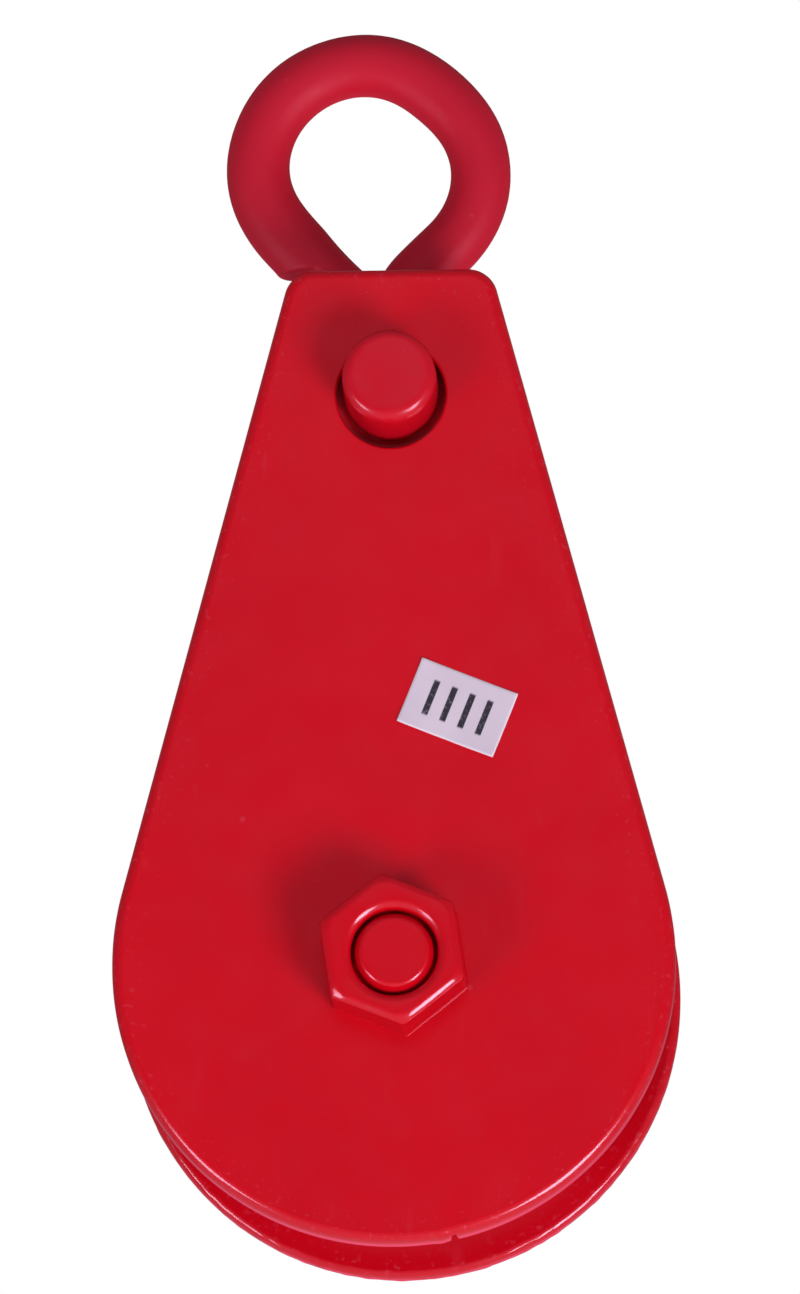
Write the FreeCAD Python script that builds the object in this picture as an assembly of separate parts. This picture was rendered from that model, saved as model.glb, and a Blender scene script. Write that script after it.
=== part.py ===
"""Snatch block: two tapered cheek plates, a grooved sheave on a sealed ball bearing,
an axle bolt with its nut, and a swivel eye in a crosshead.

Millimetres. +Z is up, through the eye. The axle and the crosshead lie along Y, and -Y is the
front, where the nut is. The origin is on the swivel axis, at the height of the ring's centre.
"""
import FreeCAD, Part
import math
import os
from FreeCAD import Vector

# Cheek plates: a round foot about the axle, straight tapering sides and a short flat top.
CHEEK_FOOT_R = 50.0
CHEEK_TOP_WIDTH = 35.5
CHEEK_TOP_ABOVE_PIN_HOLE = 23.1
CHEEK_TOP_CORNER_R = 5.3
CHEEK_THICKNESS = 5.0
CHEEK_GAP = 30.0
CHEEK_OUTER_EDGE_R = 2.0
CHEEK_INNER_EDGE_R = 1.2

# Heights of the ring's centre and the two cross axes above each other.
RING_ABOVE_PIN_HOLE = 45.8
PIN_HOLE_ABOVE_AXLE = 103.0

# Eye, bent from one round bar and closed on its own shank.
BAR_D = 10.7
RING_OUTER_R = 25.4
RING_OFFSET = 5.0
EYE_LEAN_DEG = 3.0
LEG_SLOPE_DEG = 46.0
SHANK_BEND_R = 16.0
LEG_DRESS_CLEARANCE = 0.4
LEG_DRESS_BELOW_RING = 19.7
LEG_END_ABOVE_CROSSHEAD = 1.7
LEG_END_PAST_SHANK_AXIS = 0.8

# Crosshead: a turned bar across the cheeks, with a flat above and below for the swivel.
CROSSHEAD_D = 26.0
CROSSHEAD_FLAT = 11.5
PIN_D = 16.8
PIN_HOLE_D = 19.0
PIN_SEAT_GAP = 0.3
PIN_PROUD_OF_CHEEK = 8.8
PIN_END_R = 2.0
CROSSHEAD_SIDE_CLEARANCE = 0.3
CROSSHEAD_EDGE = 1.0
PIN_HEAD_D = 24.0
PIN_HEAD_THICKNESS = 4.0

# Swivel: washer, slotted nut and split pin under the crosshead.
SWIVEL_BORE_CLEARANCE = 0.08
SWIVEL_FACE_CLEARANCE = 0.1
SWIVEL_WASHER_D = 20.0
SWIVEL_WASHER_THICKNESS = 2.0
SWIVEL_THREAD_D = 10.0
SWIVEL_NUT_FLATS = 17.0
SWIVEL_NUT_HEIGHT = 12.0
SWIVEL_NUT_SLOT_DEPTH = 4.0
SWIVEL_NUT_SLOT_WIDTH = 2.8
SHANK_END_PAST_NUT = 1.5
SPLIT_PIN_D = 2.2
SPLIT_PIN_HEAD_R = 1.8
SPLIT_PIN_LEG = 5.5
SPLIT_PIN_SPREAD_DEG = 35.0
SPLIT_PIN_LEG_SHARE = 0.8

# Axle bolt, its nut and the pieces clamped between head and nut.
NUT_FLATS = 24.0
NUT_THICKNESS = 11.0
NUT_TURN_DEG = 8.7
NUT_BORE_CHAMFER = 0.8
BOLT_HEAD_THICKNESS = 10.0
THREAD_D = 16.0
THREAD_GAP = 0.1
THREAD_LEAD_IN = 1.0
FIT_GAP = 0.05
BOLT_NOSE_D = 13.6
BOLT_NOSE_LENGTH = 3.0
BOLT_NOSE_RECESS = 0.2
BOLT_NOSE_EDGE = 0.8
FRONT_CHEEK_HOLE_GAP = 0.2
BOLT_STEP_INSIDE_SPACER = 0.3
WASHER_D = 30.0
WASHER_THICKNESS = 3.0
WASHER_EDGE = 0.75
BUSH_D = 22.0
SPACER_D = 22.0
CHEEK_SIDE_CLEARANCE = 0.15
HEX_CHAMFER_DEG = 30.0
HEX_FACE_SHARE = 0.95

# Sheave, turned all over, with its bearing held by a shoulder and a circlip.
SHEAVE_RIM_R = 42.0
SHEAVE_ROOT_R = 31.0
SHEAVE_RIM_WIDTH = 26.0
SHEAVE_LIP_WIDTH = 2.6
SHEAVE_LIP_EDGE = 0.8
ROPE_GROOVE_R = 6.5
SHEAVE_FACE_BAND = 5.5
HUB_WALL = 6.5
SHOULDER_HEIGHT = 2.0
SHOULDER_WIDTH = 2.5
HUB_LIP_PAST_CIRCLIP = 1.5

# Bearing, 17 x 40 x 12, eight balls, a shield on each side.
BEARING_BORE_D = 17.0
BEARING_D = 40.0
BEARING_WIDTH = 12.0
BALL_COUNT = 8
BALL_D = 6.75
RACE_GAP = 0.05
INNER_LAND_BELOW_PITCH = 2.15
OUTER_LAND_ABOVE_PITCH = 2.35
RING_EDGE = 0.6
CAGE_WALL = 1.7
CAGE_PAST_BALL = 1.0
POCKET_GAP = 0.12
SHIELD_THICKNESS = 0.4
SHIELD_INSET = 0.5
SHIELD_BORE_GAP = 0.35
SHIELD_SEAT_DEPTH = 0.9
CIRCLIP_THICKNESS = 1.75
CIRCLIP_GROOVE_DEPTH = 1.25
CIRCLIP_GROOVE_GAP = 0.05
CIRCLIP_WALL = 3.0
CIRCLIP_OPEN_DEG = 50.0
CIRCLIP_EAR_R = 2.4
CIRCLIP_EAR_HOLE_R = 1.1

# Places that follow from the sizes above.
PIN_HOLE_Z = -RING_ABOVE_PIN_HOLE
AXLE_Z = PIN_HOLE_Z - PIN_HOLE_ABOVE_AXLE
CHEEK_TOP_ABOVE_AXLE = PIN_HOLE_ABOVE_AXLE + CHEEK_TOP_ABOVE_PIN_HOLE
PIN_Z = PIN_HOLE_Z + (PIN_HOLE_D - PIN_D) / 2 - PIN_SEAT_GAP
HALF_GAP = CHEEK_GAP / 2
FRONT_INNER_Y = -HALF_GAP
FRONT_OUTER_Y = -HALF_GAP - CHEEK_THICKNESS
REAR_INNER_Y = HALF_GAP + CHEEK_SIDE_CLEARANCE
REAR_OUTER_Y = REAR_INNER_Y + CHEEK_THICKNESS
BUSH_END_Y = REAR_OUTER_Y + CHEEK_SIDE_CLEARANCE
WASHER_END_Y = BUSH_END_Y + WASHER_THICKNESS
HEAD_END_Y = WASHER_END_Y + BOLT_HEAD_THICKNESS
NUT_FACE_Y = FRONT_OUTER_Y - NUT_THICKNESS
BAR_R = BAR_D / 2
BEARING_HALF = BEARING_WIDTH / 2
BEARING_R = BEARING_D / 2
BALL_PITCH_R = (BEARING_BORE_D + BEARING_D) / 4
INNER_LAND_R = BALL_PITCH_R - INNER_LAND_BELOW_PITCH
OUTER_LAND_R = BALL_PITCH_R + OUTER_LAND_ABOVE_PITCH
CAGE_HALF_WIDTH = BALL_D / 2 + CAGE_PAST_BALL
SHIELD_SEAT_R = OUTER_LAND_R + SHIELD_SEAT_DEPTH
CIRCLIP_GROOVE_R = BEARING_R + CIRCLIP_GROOVE_DEPTH
HUB_R = BEARING_R + HUB_WALL
SHEAVE_DISH_R = SHEAVE_RIM_R - SHEAVE_FACE_BAND
BOLT_BODY_R = BEARING_BORE_D / 2 - FIT_GAP
SLIP_ON_R = BEARING_BORE_D / 2 + FIT_GAP
CROSSHEAD_TOP_Z = PIN_Z + CROSSHEAD_FLAT
CROSSHEAD_FOOT_Z = PIN_Z - CROSSHEAD_FLAT
SWIVEL_WASHER_TOP_Z = CROSSHEAD_FOOT_Z - SWIVEL_FACE_CLEARANCE
SWIVEL_NUT_TOP_Z = SWIVEL_WASHER_TOP_Z - SWIVEL_WASHER_THICKNESS
SWIVEL_NUT_END_Z = SWIVEL_NUT_TOP_Z - SWIVEL_NUT_HEIGHT
SHANK_END_Z = SWIVEL_NUT_END_Z - SHANK_END_PAST_NUT
SPLIT_PIN_Z = SWIVEL_NUT_END_Z + SWIVEL_NUT_SLOT_DEPTH / 2

ALONG_X = Vector(1, 0, 0)
ALONG_Y = Vector(0, 1, 0)
# reach of a cut that goes right through a piece, and the overrun of one at its start
THROUGH = 400.0
OVERRUN = 1.0


def polar(radius, degrees, centre_x=0.0, centre_z=0.0):
    """A point of the XZ plane at an angle from +X towards +Z."""
    turn = math.radians(degrees)
    return Vector(centre_x + radius * math.cos(turn), 0, centre_z + radius * math.sin(turn))


def rod(radius, y0, y1, x=0.0, z=AXLE_Z):
    """A round bar along Y, by default on the axle's line."""
    return Part.makeCylinder(radius, y1 - y0, Vector(x, y0, z), ALONG_Y)


def drill(radius, y0, y1, x=0.0, z=AXLE_Z):
    """A round cutter along Y that runs out past both faces."""
    return rod(radius, y0 - OVERRUN, y1 + OVERRUN, x, z)


def tube(outer_r, inner_r, y0, y1, z=AXLE_Z):
    """A tube along Y."""
    return rod(outer_r, y0, y1, z=z).cut(drill(inner_r, y0, y1, z=z))


def turned(points):
    """A solid turned about the axle's line, from its section as (radius, y) points."""
    corners = [Vector(r, y, AXLE_Z) for r, y in points]
    face = Part.Face(Part.makePolygon(corners + [corners[0]]))
    return face.revolve(Vector(0, 0, AXLE_Z), ALONG_Y, 360)


def hexagon(flats, y0, y1, turn_deg, z=AXLE_Z):
    """A hexagonal prism along Y, with one corner at turn_deg from +Z."""
    corner_r = flats / math.sqrt(3)
    corners = [polar(corner_r, 90 + turn_deg + 60 * i, 0, z) for i in range(6)]
    face = Part.Face(Part.makePolygon(corners + [corners[0]]))
    face.translate(Vector(0, y0, 0))
    return face.extrude(Vector(0, y1 - y0, 0))


def corner_cone(flats, face_y, into, depth_deg, z=AXLE_Z):
    """The turned shape that rounds a hexagon's corners at the face at face_y; into is +1 or -1."""
    face_r = flats / 2 * HEX_FACE_SHARE
    reach = flats
    rise = reach * math.tan(math.radians(depth_deg))
    start = Vector(0, face_y, z)
    way = Vector(0, into, 0)
    cone = Part.makeCone(face_r, face_r + reach, rise, start, way)
    rest = Part.makeCylinder(face_r + reach, THROUGH, start + way * rise, way)
    return cone.fuse(rest)


def edges_at(shape, y, tolerance=1e-4):
    """The edges of a plate that lie wholly at one height along Y."""
    return [e for e in shape.Edges
            if abs(e.BoundBox.YMin - y) < tolerance and abs(e.BoundBox.YMax - y) < tolerance]


def cheek_outline():
    """The plate's outline as a face in the XZ plane: the foot's arc, two tangents, a short top."""
    top_z = AXLE_Z + CHEEK_TOP_ABOVE_AXLE
    half_top = CHEEK_TOP_WIDTH / 2
    reach = math.hypot(half_top, CHEEK_TOP_ABOVE_AXLE)
    bearing = math.degrees(math.atan2(CHEEK_TOP_ABOVE_AXLE, half_top))
    tangent = bearing - math.degrees(math.acos(CHEEK_FOOT_R / reach))
    right_foot = polar(CHEEK_FOOT_R, tangent, 0, AXLE_Z)
    left_foot = Vector(-right_foot.x, 0, right_foot.z)
    # the sides lean inwards by the tangent's angle, so the top corners turn through 90 minus it
    corner_cut = CHEEK_TOP_CORNER_R * math.tan(math.radians(90 - tangent) / 2)
    lean = math.radians(tangent)
    along = Vector(math.sin(lean), 0, -math.cos(lean))
    right_top = Vector(half_top, 0, top_z)
    side_end = right_top + along * corner_cut
    top_end = right_top - Vector(corner_cut, 0, 0)
    centre = top_end - Vector(0, 0, CHEEK_TOP_CORNER_R)
    middle = centre + polar(CHEEK_TOP_CORNER_R, (90 + tangent) / 2)
    flip = lambda p: Vector(-p.x, p.y, p.z)
    foot = Vector(0, 0, AXLE_Z - CHEEK_FOOT_R)
    edges = [Part.Arc(left_foot, foot, right_foot).toShape(),
             Part.makeLine(right_foot, side_end),
             Part.Arc(side_end, middle, top_end).toShape(),
             Part.makeLine(top_end, flip(top_end)),
             Part.Arc(flip(top_end), flip(middle), flip(side_end)).toShape(),
             Part.makeLine(flip(side_end), left_foot)]
    return Part.Face(Part.Wire(edges))


def cheek_plate(y0, y1, outer_y):
    """A plate with a large radius on its outer edge and a small one on its inner edge."""
    face = cheek_outline()
    face.translate(Vector(0, y0, 0))
    plate = face.extrude(Vector(0, y1 - y0, 0))
    inner_y = y0 if outer_y == y1 else y1
    plate = plate.makeFillet(CHEEK_OUTER_EDGE_R, edges_at(plate, outer_y))
    return plate.makeFillet(CHEEK_INNER_EDGE_R, edges_at(plate, inner_y))


def front_cheek():
    """The fixed plate: a closed hole for the crosshead's end and one for the bolt's thread."""
    plate = cheek_plate(FRONT_OUTER_Y, FRONT_INNER_Y, FRONT_OUTER_Y)
    hole_r = THREAD_D / 2 + FRONT_CHEEK_HOLE_GAP
    plate = plate.cut(drill(hole_r, FRONT_OUTER_Y, FRONT_INNER_Y))
    return plate.cut(drill(PIN_HOLE_D / 2, FRONT_OUTER_Y, FRONT_INNER_Y, z=PIN_HOLE_Z))


def rear_cheek():
    """The opening plate: it turns on the bush, and its hooked slot lifts off the crosshead.

    The slot follows an arc about the axle, as wide as the front plate's hole, from the seat
    on the crosshead out through the plate's -X edge.
    """
    plate = cheek_plate(REAR_INNER_Y, REAR_OUTER_Y, REAR_OUTER_Y)
    y0 = REAR_INNER_Y - OVERRUN
    y1 = REAR_OUTER_Y + OVERRUN
    plate = plate.cut(rod(BUSH_D / 2 + FIT_GAP, y0, y1))
    band = tube(PIN_HOLE_ABOVE_AXLE + PIN_HOLE_D / 2, PIN_HOLE_ABOVE_AXLE - PIN_HOLE_D / 2, y0, y1)
    side = Part.makeBox(THROUGH, y1 - y0, THROUGH, Vector(-THROUGH, y0, AXLE_Z))
    return plate.cut(band.common(side).fuse(rod(PIN_HOLE_D / 2, y0, y1, z=PIN_HOLE_Z)))


def axle_bolt():
    """Hexagon head at the rear, a fitted body, a reduced thread and a plain nose in the nut."""
    head = hexagon(NUT_FLATS, WASHER_END_Y, HEAD_END_Y, 0.0)
    head = head.common(corner_cone(NUT_FLATS, HEAD_END_Y, -1, HEX_CHAMFER_DEG))
    step_y = FRONT_INNER_Y + BOLT_STEP_INSIDE_SPACER
    nose_end_y = NUT_FACE_Y + BOLT_NOSE_RECESS
    nose_y = nose_end_y + BOLT_NOSE_LENGTH
    nose_r = BOLT_NOSE_D / 2
    thread_r = THREAD_D / 2 - THREAD_GAP
    stem = turned([(0, WASHER_END_Y), (BOLT_BODY_R, WASHER_END_Y), (BOLT_BODY_R, step_y),
                   (thread_r, step_y), (thread_r, nose_y), (nose_r, nose_y),
                   (nose_r, nose_end_y + BOLT_NOSE_EDGE), (nose_r - BOLT_NOSE_EDGE, nose_end_y),
                   (0, nose_end_y)])
    return head.fuse(stem)


def axle_nut():
    """The nut on the front plate, turned a little as it stopped when tightened."""
    nut = hexagon(NUT_FLATS, NUT_FACE_Y, FRONT_OUTER_Y, NUT_TURN_DEG)
    nut = nut.common(corner_cone(NUT_FLATS, NUT_FACE_Y, 1, HEX_CHAMFER_DEG))
    bore_r = THREAD_D / 2
    lead_in = Part.makeCone(bore_r + NUT_BORE_CHAMFER, bore_r, NUT_BORE_CHAMFER,
                            Vector(0, NUT_FACE_Y, AXLE_Z), ALONG_Y)
    return nut.cut([drill(bore_r, NUT_FACE_Y, FRONT_OUTER_Y), lead_in])


def axle_washer():
    """The thick washer between the bolt's head and the bush."""
    washer = tube(WASHER_D / 2, SLIP_ON_R, BUSH_END_Y, WASHER_END_Y)
    rim = [e for e in edges_at(washer, WASHER_END_Y) if e.Curve.Radius > BUSH_D / 2]
    return washer.makeChamfer(WASHER_EDGE, rim)


def cheek_bush():
    """The bush that the opening plate turns on, a little longer than the plate is thick."""
    return tube(BUSH_D / 2, SLIP_ON_R, HALF_GAP, BUSH_END_Y)


def spacer(y0, y1):
    """A distance tube between a plate and the bearing's inner ring."""
    return tube(SPACER_D / 2, SLIP_ON_R, y0, y1)


def sheave():
    """The wheel in section: rim lips, a round-bottomed rope groove, dished sides and the hub."""
    half_rim = SHEAVE_RIM_WIDTH / 2
    hub_rear = BEARING_HALF + SHOULDER_WIDTH
    groove_y0 = -BEARING_HALF - CIRCLIP_THICKNESS - 2 * CIRCLIP_GROOVE_GAP
    hub_front = groove_y0 - HUB_LIP_PAST_CIRCLIP
    shoulder_r = BEARING_R - SHOULDER_HEIGHT
    edge = SHEAVE_LIP_EDGE
    lip_y = half_rim - SHEAVE_LIP_WIDTH
    # the flank runs from the lip's inner corner down to where it meets the groove's round bottom
    centre_r = SHEAVE_ROOT_R + ROPE_GROOVE_R
    dr = SHEAVE_RIM_R - centre_r
    dist = math.hypot(dr, lip_y)
    toward = math.atan2(dr, lip_y)
    touch = toward - math.acos(ROPE_GROOVE_R / dist)
    touch_r = centre_r + ROPE_GROOVE_R * math.sin(touch)
    touch_y = ROPE_GROOVE_R * math.cos(touch)

    def at(r, y):
        return Vector(r, y, AXLE_Z)

    groove = Part.Arc(at(touch_r, -touch_y), at(SHEAVE_ROOT_R, 0), at(touch_r, touch_y)).toShape()
    outline = [at(touch_r, touch_y), at(SHEAVE_RIM_R, lip_y), at(SHEAVE_RIM_R, half_rim - edge),
               at(SHEAVE_RIM_R - edge, half_rim), at(SHEAVE_DISH_R, half_rim),
               at(HUB_R, hub_rear), at(shoulder_r, hub_rear), at(shoulder_r, BEARING_HALF),
               at(BEARING_R, BEARING_HALF), at(BEARING_R, -BEARING_HALF),
               at(CIRCLIP_GROOVE_R, -BEARING_HALF), at(CIRCLIP_GROOVE_R, groove_y0),
               at(BEARING_R, groove_y0), at(BEARING_R, hub_front), at(HUB_R, hub_front),
               at(SHEAVE_DISH_R, -half_rim), at(SHEAVE_RIM_R - edge, -half_rim),
               at(SHEAVE_RIM_R, edge - half_rim), at(SHEAVE_RIM_R, -lip_y), at(touch_r, -touch_y)]
    lines = [Part.makeLine(a, b) for a, b in zip(outline, outline[1:])]
    face = Part.Face(Part.Wire([groove] + lines))
    return face.revolve(at(0, 0), ALONG_Y, 360)


def race_ring(inner_r, outer_r, outer_ring):
    """A bearing ring with its ball groove; the corners away from the balls are chamfered."""
    half = BEARING_HALF
    e = RING_EDGE
    if outer_ring:
        section = [(inner_r, -half), (outer_r - e, -half), (outer_r, -half + e),
                   (outer_r, half - e), (outer_r - e, half), (inner_r, half)]
    else:
        section = [(outer_r, -half), (inner_r + e, -half), (inner_r, -half + e),
                   (inner_r, half - e), (inner_r + e, half), (outer_r, half)]
    ring = turned(section)
    groove = Part.makeTorus(BALL_PITCH_R, BALL_D / 2 + RACE_GAP, Vector(0, 0, AXLE_Z), ALONG_Y)
    return ring.cut(groove)


def bearing_outer_ring():
    """The outer ring, with a shallow step at each side that holds a shield."""
    ring = race_ring(OUTER_LAND_R, BEARING_R, True)
    depth = SHIELD_INSET + SHIELD_THICKNESS
    ring = ring.cut(rod(SHIELD_SEAT_R, -BEARING_HALF - OVERRUN, depth - BEARING_HALF))
    return ring.cut(rod(SHIELD_SEAT_R, BEARING_HALF - depth, BEARING_HALF + OVERRUN))


def bearing_inner_ring():
    """The inner ring, clamped between the two spacers."""
    return race_ring(BEARING_BORE_D / 2, INNER_LAND_R, False)


def ball_centre(i):
    """Where ball number i lies at rest."""
    return polar(BALL_PITCH_R, 90 + 360.0 * i / BALL_COUNT, 0, AXLE_Z)


def bearing_balls():
    """The balls, evenly spread by the cage."""
    return Part.makeCompound([Part.makeSphere(BALL_D / 2, ball_centre(i)) for i in range(BALL_COUNT)])


def bearing_cage():
    """A one-piece cage with a round pocket for each ball."""
    outer_r = BALL_PITCH_R + CAGE_WALL / 2
    cage = tube(outer_r, outer_r - CAGE_WALL, -CAGE_HALF_WIDTH, CAGE_HALF_WIDTH)
    for i in range(BALL_COUNT):
        cage = cage.cut(Part.makeSphere(BALL_D / 2 + POCKET_GAP, ball_centre(i)))
    return cage


def bearing_shield(side):
    """A thin disc pressed into the outer ring's step; side is -1 at the front, +1 at the rear."""
    outer_y = side * (BEARING_HALF - SHIELD_INSET)
    inner_y = side * (BEARING_HALF - SHIELD_INSET - SHIELD_THICKNESS)
    y0, y1 = sorted((outer_y, inner_y))
    return tube(SHIELD_SEAT_R, INNER_LAND_R + SHIELD_BORE_GAP, y0, y1)


def bearing_circlip():
    """The internal circlip in front of the bearing: an open ring with two pierced ears."""
    y1 = -BEARING_HALF - CIRCLIP_GROOVE_GAP
    y0 = y1 - CIRCLIP_THICKNESS
    outer_r = CIRCLIP_GROOVE_R - CIRCLIP_GROOVE_GAP
    inner_r = outer_r - CIRCLIP_WALL
    ring = tube(outer_r, inner_r, y0, y1)
    half = CIRCLIP_OPEN_DEG / 2
    tip = Vector(0, 0, AXLE_Z)
    left = polar(BEARING_D, -90 - half, 0, AXLE_Z)
    right = polar(BEARING_D, -90 + half, 0, AXLE_Z)
    wedge = Part.Face(Part.makePolygon([tip, left, right, tip]))
    wedge.translate(Vector(0, y0 - OVERRUN, 0))
    ring = ring.cut(wedge.extrude(Vector(0, CIRCLIP_THICKNESS + 2 * OVERRUN, 0)))
    ear_r = BEARING_R - CIRCLIP_EAR_R - CIRCLIP_GROOVE_GAP
    for sign in (-1, 1):
        place = polar(ear_r, -90 + sign * half, 0, AXLE_Z)
        ear = rod(CIRCLIP_EAR_R, y0, y1, place.x, place.z)
        ring = ring.fuse(ear).cut(drill(CIRCLIP_EAR_HOLE_R, y0, y1, place.x, place.z))
    return ring


def crosshead():
    """The turned bar that carries the eye, with a plain end in front and a head at the rear.

    The front end stands proud of the fixed plate. The rear head keeps the opening plate on.
    """
    shoulder_front = FRONT_INNER_Y + CROSSHEAD_SIDE_CLEARANCE
    shoulder_rear = REAR_INNER_Y - CROSSHEAD_SIDE_CLEARANCE
    neck_end = REAR_OUTER_Y + CROSSHEAD_SIDE_CLEARANCE
    head_end = neck_end + PIN_HEAD_THICKNESS
    front_end = FRONT_OUTER_Y - PIN_PROUD_OF_CHEEK
    body = rod(CROSSHEAD_D / 2, shoulder_front, shoulder_rear, z=PIN_Z)
    body = body.makeChamfer(CROSSHEAD_EDGE, [e for e in body.Edges if e.Closed])
    for z0 in (CROSSHEAD_TOP_Z, CROSSHEAD_FOOT_Z - THROUGH):
        corner = Vector(-THROUGH / 2, -THROUGH / 2, z0)
        body = body.cut(Part.makeBox(THROUGH, THROUGH, THROUGH, corner))
    pin = rod(PIN_D / 2, front_end, neck_end, z=PIN_Z)
    pin = pin.makeFillet(PIN_END_R, edges_at(pin, front_end))
    head = rod(PIN_HEAD_D / 2, neck_end, head_end, z=PIN_Z)
    head = head.makeChamfer(CROSSHEAD_EDGE, edges_at(head, head_end))
    whole = body.fuse([pin, head]).removeSplitter()
    bore_r = BAR_R + SWIVEL_BORE_CLEARANCE
    bore = Part.makeCylinder(bore_r, 2 * CROSSHEAD_D, Vector(0, 0, PIN_Z - CROSSHEAD_D))
    return whole.cut(bore)


def eye_turns():
    """The points of the bar's centre line that the ring, its two legs and the shank share."""
    centre_r = RING_OUTER_R - BAR_R
    left_deg = 180 + LEG_SLOPE_DEG + EYE_LEAN_DEG
    right_deg = 360 - LEG_SLOPE_DEG + EYE_LEAN_DEG
    left = polar(centre_r, left_deg, -RING_OFFSET, 0)
    right = polar(centre_r, right_deg, -RING_OFFSET, 0)
    top = polar(centre_r, 90 + EYE_LEAN_DEG, -RING_OFFSET, 0)
    left_way = polar(1, left_deg + 90)
    right_way = polar(1, right_deg - 90)
    corner = right + right_way * (-right.x / right_way.x)
    turn_deg = 270 - (right_deg - 90)
    reach = SHANK_BEND_R * math.tan(math.radians(turn_deg) / 2)
    return left, top, right, left_way, right_way, corner, turn_deg, reach


def eye():
    """The swivel eye: ring, right leg and shank swept in one bar, the left leg closed on them."""
    left, top, right, left_way, right_way, corner, turn_deg, reach = eye_turns()
    bend_start = corner - right_way * reach
    bend_end = corner - Vector(0, 0, reach)
    # the bend's centre lies square to the shank, on the side that the right leg comes from
    centre = bend_end + Vector(SHANK_BEND_R, 0, 0)
    bend_middle = centre + polar(SHANK_BEND_R, 180 - turn_deg / 2)
    path = Part.Wire([Part.Arc(left, top, right).toShape(),
                      Part.makeLine(right, bend_start),
                      Part.Arc(bend_start, bend_middle, bend_end).toShape(),
                      Part.makeLine(bend_end, Vector(0, 0, SWIVEL_NUT_TOP_Z))])
    start = Part.Wire([Part.makeCircle(BAR_R, left, left_way * -1)])
    bar = path.makePipeShell([start], True, False)
    leg_length = (LEG_END_PAST_SHANK_AXIS - left.x) / left_way.x + BAR_D
    leg = Part.makeCylinder(BAR_R, leg_length, left, left_way)
    leg_foot_z = CROSSHEAD_TOP_Z + LEG_END_ABOVE_CROSSHEAD
    keep_corner = Vector(LEG_END_PAST_SHANK_AXIS - THROUGH, -THROUGH / 2, leg_foot_z)
    keep = Part.makeBox(THROUGH, THROUGH, THROUGH, keep_corner)
    whole = bar.fuse(leg.common(keep))
    dress_r = HALF_GAP - LEG_DRESS_CLEARANCE
    floor_z = leg_foot_z - BAR_D
    dress_height = -LEG_DRESS_BELOW_RING - floor_z
    outside = Part.makeCylinder(THROUGH, dress_height, Vector(0, 0, floor_z))
    outside = outside.cut(Part.makeCylinder(dress_r, dress_height, Vector(0, 0, floor_z)))
    whole = whole.cut(outside)
    thread_r = SWIVEL_THREAD_D / 2 - FIT_GAP
    lead_in_top = Vector(0, 0, SHANK_END_Z + THREAD_LEAD_IN)
    thread = Part.makeCylinder(thread_r, SWIVEL_NUT_TOP_Z - lead_in_top.z, lead_in_top)
    lead_in = Part.makeCone(thread_r - THREAD_LEAD_IN, thread_r, THREAD_LEAD_IN, Vector(0, 0, SHANK_END_Z))
    hole_start = Vector(-THROUGH / 2, 0, SPLIT_PIN_Z)
    hole = Part.makeCylinder(SPLIT_PIN_D / 2 + FIT_GAP, THROUGH, hole_start, ALONG_X)
    return whole.fuse(thread.fuse(lead_in).cut(hole)).removeSplitter()


def swivel_washer():
    """The washer that bears on the crosshead's lower flat."""
    foot = Vector(0, 0, SWIVEL_NUT_TOP_Z)
    disc = Part.makeCylinder(SWIVEL_WASHER_D / 2, SWIVEL_WASHER_THICKNESS, foot)
    return disc.cut(Part.makeCylinder(BAR_R + FIT_GAP, SWIVEL_WASHER_THICKNESS, foot))


def swivel_nut():
    """The slotted nut, crown downwards, with a slot across each pair of flats."""
    corner_r = SWIVEL_NUT_FLATS / math.sqrt(3)
    z0 = SWIVEL_NUT_END_Z
    corners = [Vector(corner_r * math.cos(math.radians(30 + 60 * i)),
                      corner_r * math.sin(math.radians(30 + 60 * i)), z0) for i in range(6)]
    nut = Part.Face(Part.makePolygon(corners + [corners[0]])).extrude(Vector(0, 0, SWIVEL_NUT_HEIGHT))
    rise = SWIVEL_NUT_FLATS * math.tan(math.radians(HEX_CHAMFER_DEG))
    face_r = SWIVEL_NUT_FLATS / 2 * HEX_FACE_SHARE
    cone = Part.makeCone(face_r, face_r + SWIVEL_NUT_FLATS, rise, Vector(0, 0, z0))
    rest = Part.makeCylinder(face_r + SWIVEL_NUT_FLATS, THROUGH, Vector(0, 0, z0 + rise))
    nut = nut.common(cone.fuse(rest))
    nut = nut.cut(Part.makeCylinder(SWIVEL_THREAD_D / 2, THROUGH, Vector(0, 0, z0 - OVERRUN)))
    slot_corner = Vector(-THROUGH / 2, -SWIVEL_NUT_SLOT_WIDTH / 2, z0 - OVERRUN)
    for i in range(3):
        slot = Part.makeBox(THROUGH, SWIVEL_NUT_SLOT_WIDTH, SWIVEL_NUT_SLOT_DEPTH + OVERRUN, slot_corner)
        slot.rotate(Vector(0, 0, 0), Vector(0, 0, 1), 60 * i)
        nut = nut.cut(slot)
    return nut


def swivel_split_pin():
    """The split pin through nut and shank: a looped head and two legs opened out."""
    r = SPLIT_PIN_D / 2
    half = SWIVEL_NUT_FLATS / 2
    pin = Part.makeCylinder(r, 2 * half + r, Vector(-half - r, 0, SPLIT_PIN_Z), ALONG_X)
    loop_x = -half - r - SPLIT_PIN_HEAD_R
    loop = rod(SPLIT_PIN_HEAD_R + r, -r, r, loop_x, SPLIT_PIN_Z)
    pieces = [loop.cut(drill(SPLIT_PIN_HEAD_R - r, -r, r, loop_x, SPLIT_PIN_Z))]
    for sign in (-1, 1):
        spread = math.radians(SPLIT_PIN_SPREAD_DEG)
        way = Vector(math.cos(spread), sign * math.sin(spread), 0)
        leg = Part.makeCylinder(r * SPLIT_PIN_LEG_SHARE, SPLIT_PIN_LEG, Vector(half, 0, SPLIT_PIN_Z), way)
        pieces.append(leg)
    return pin.fuse(pieces).removeSplitter()


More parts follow.
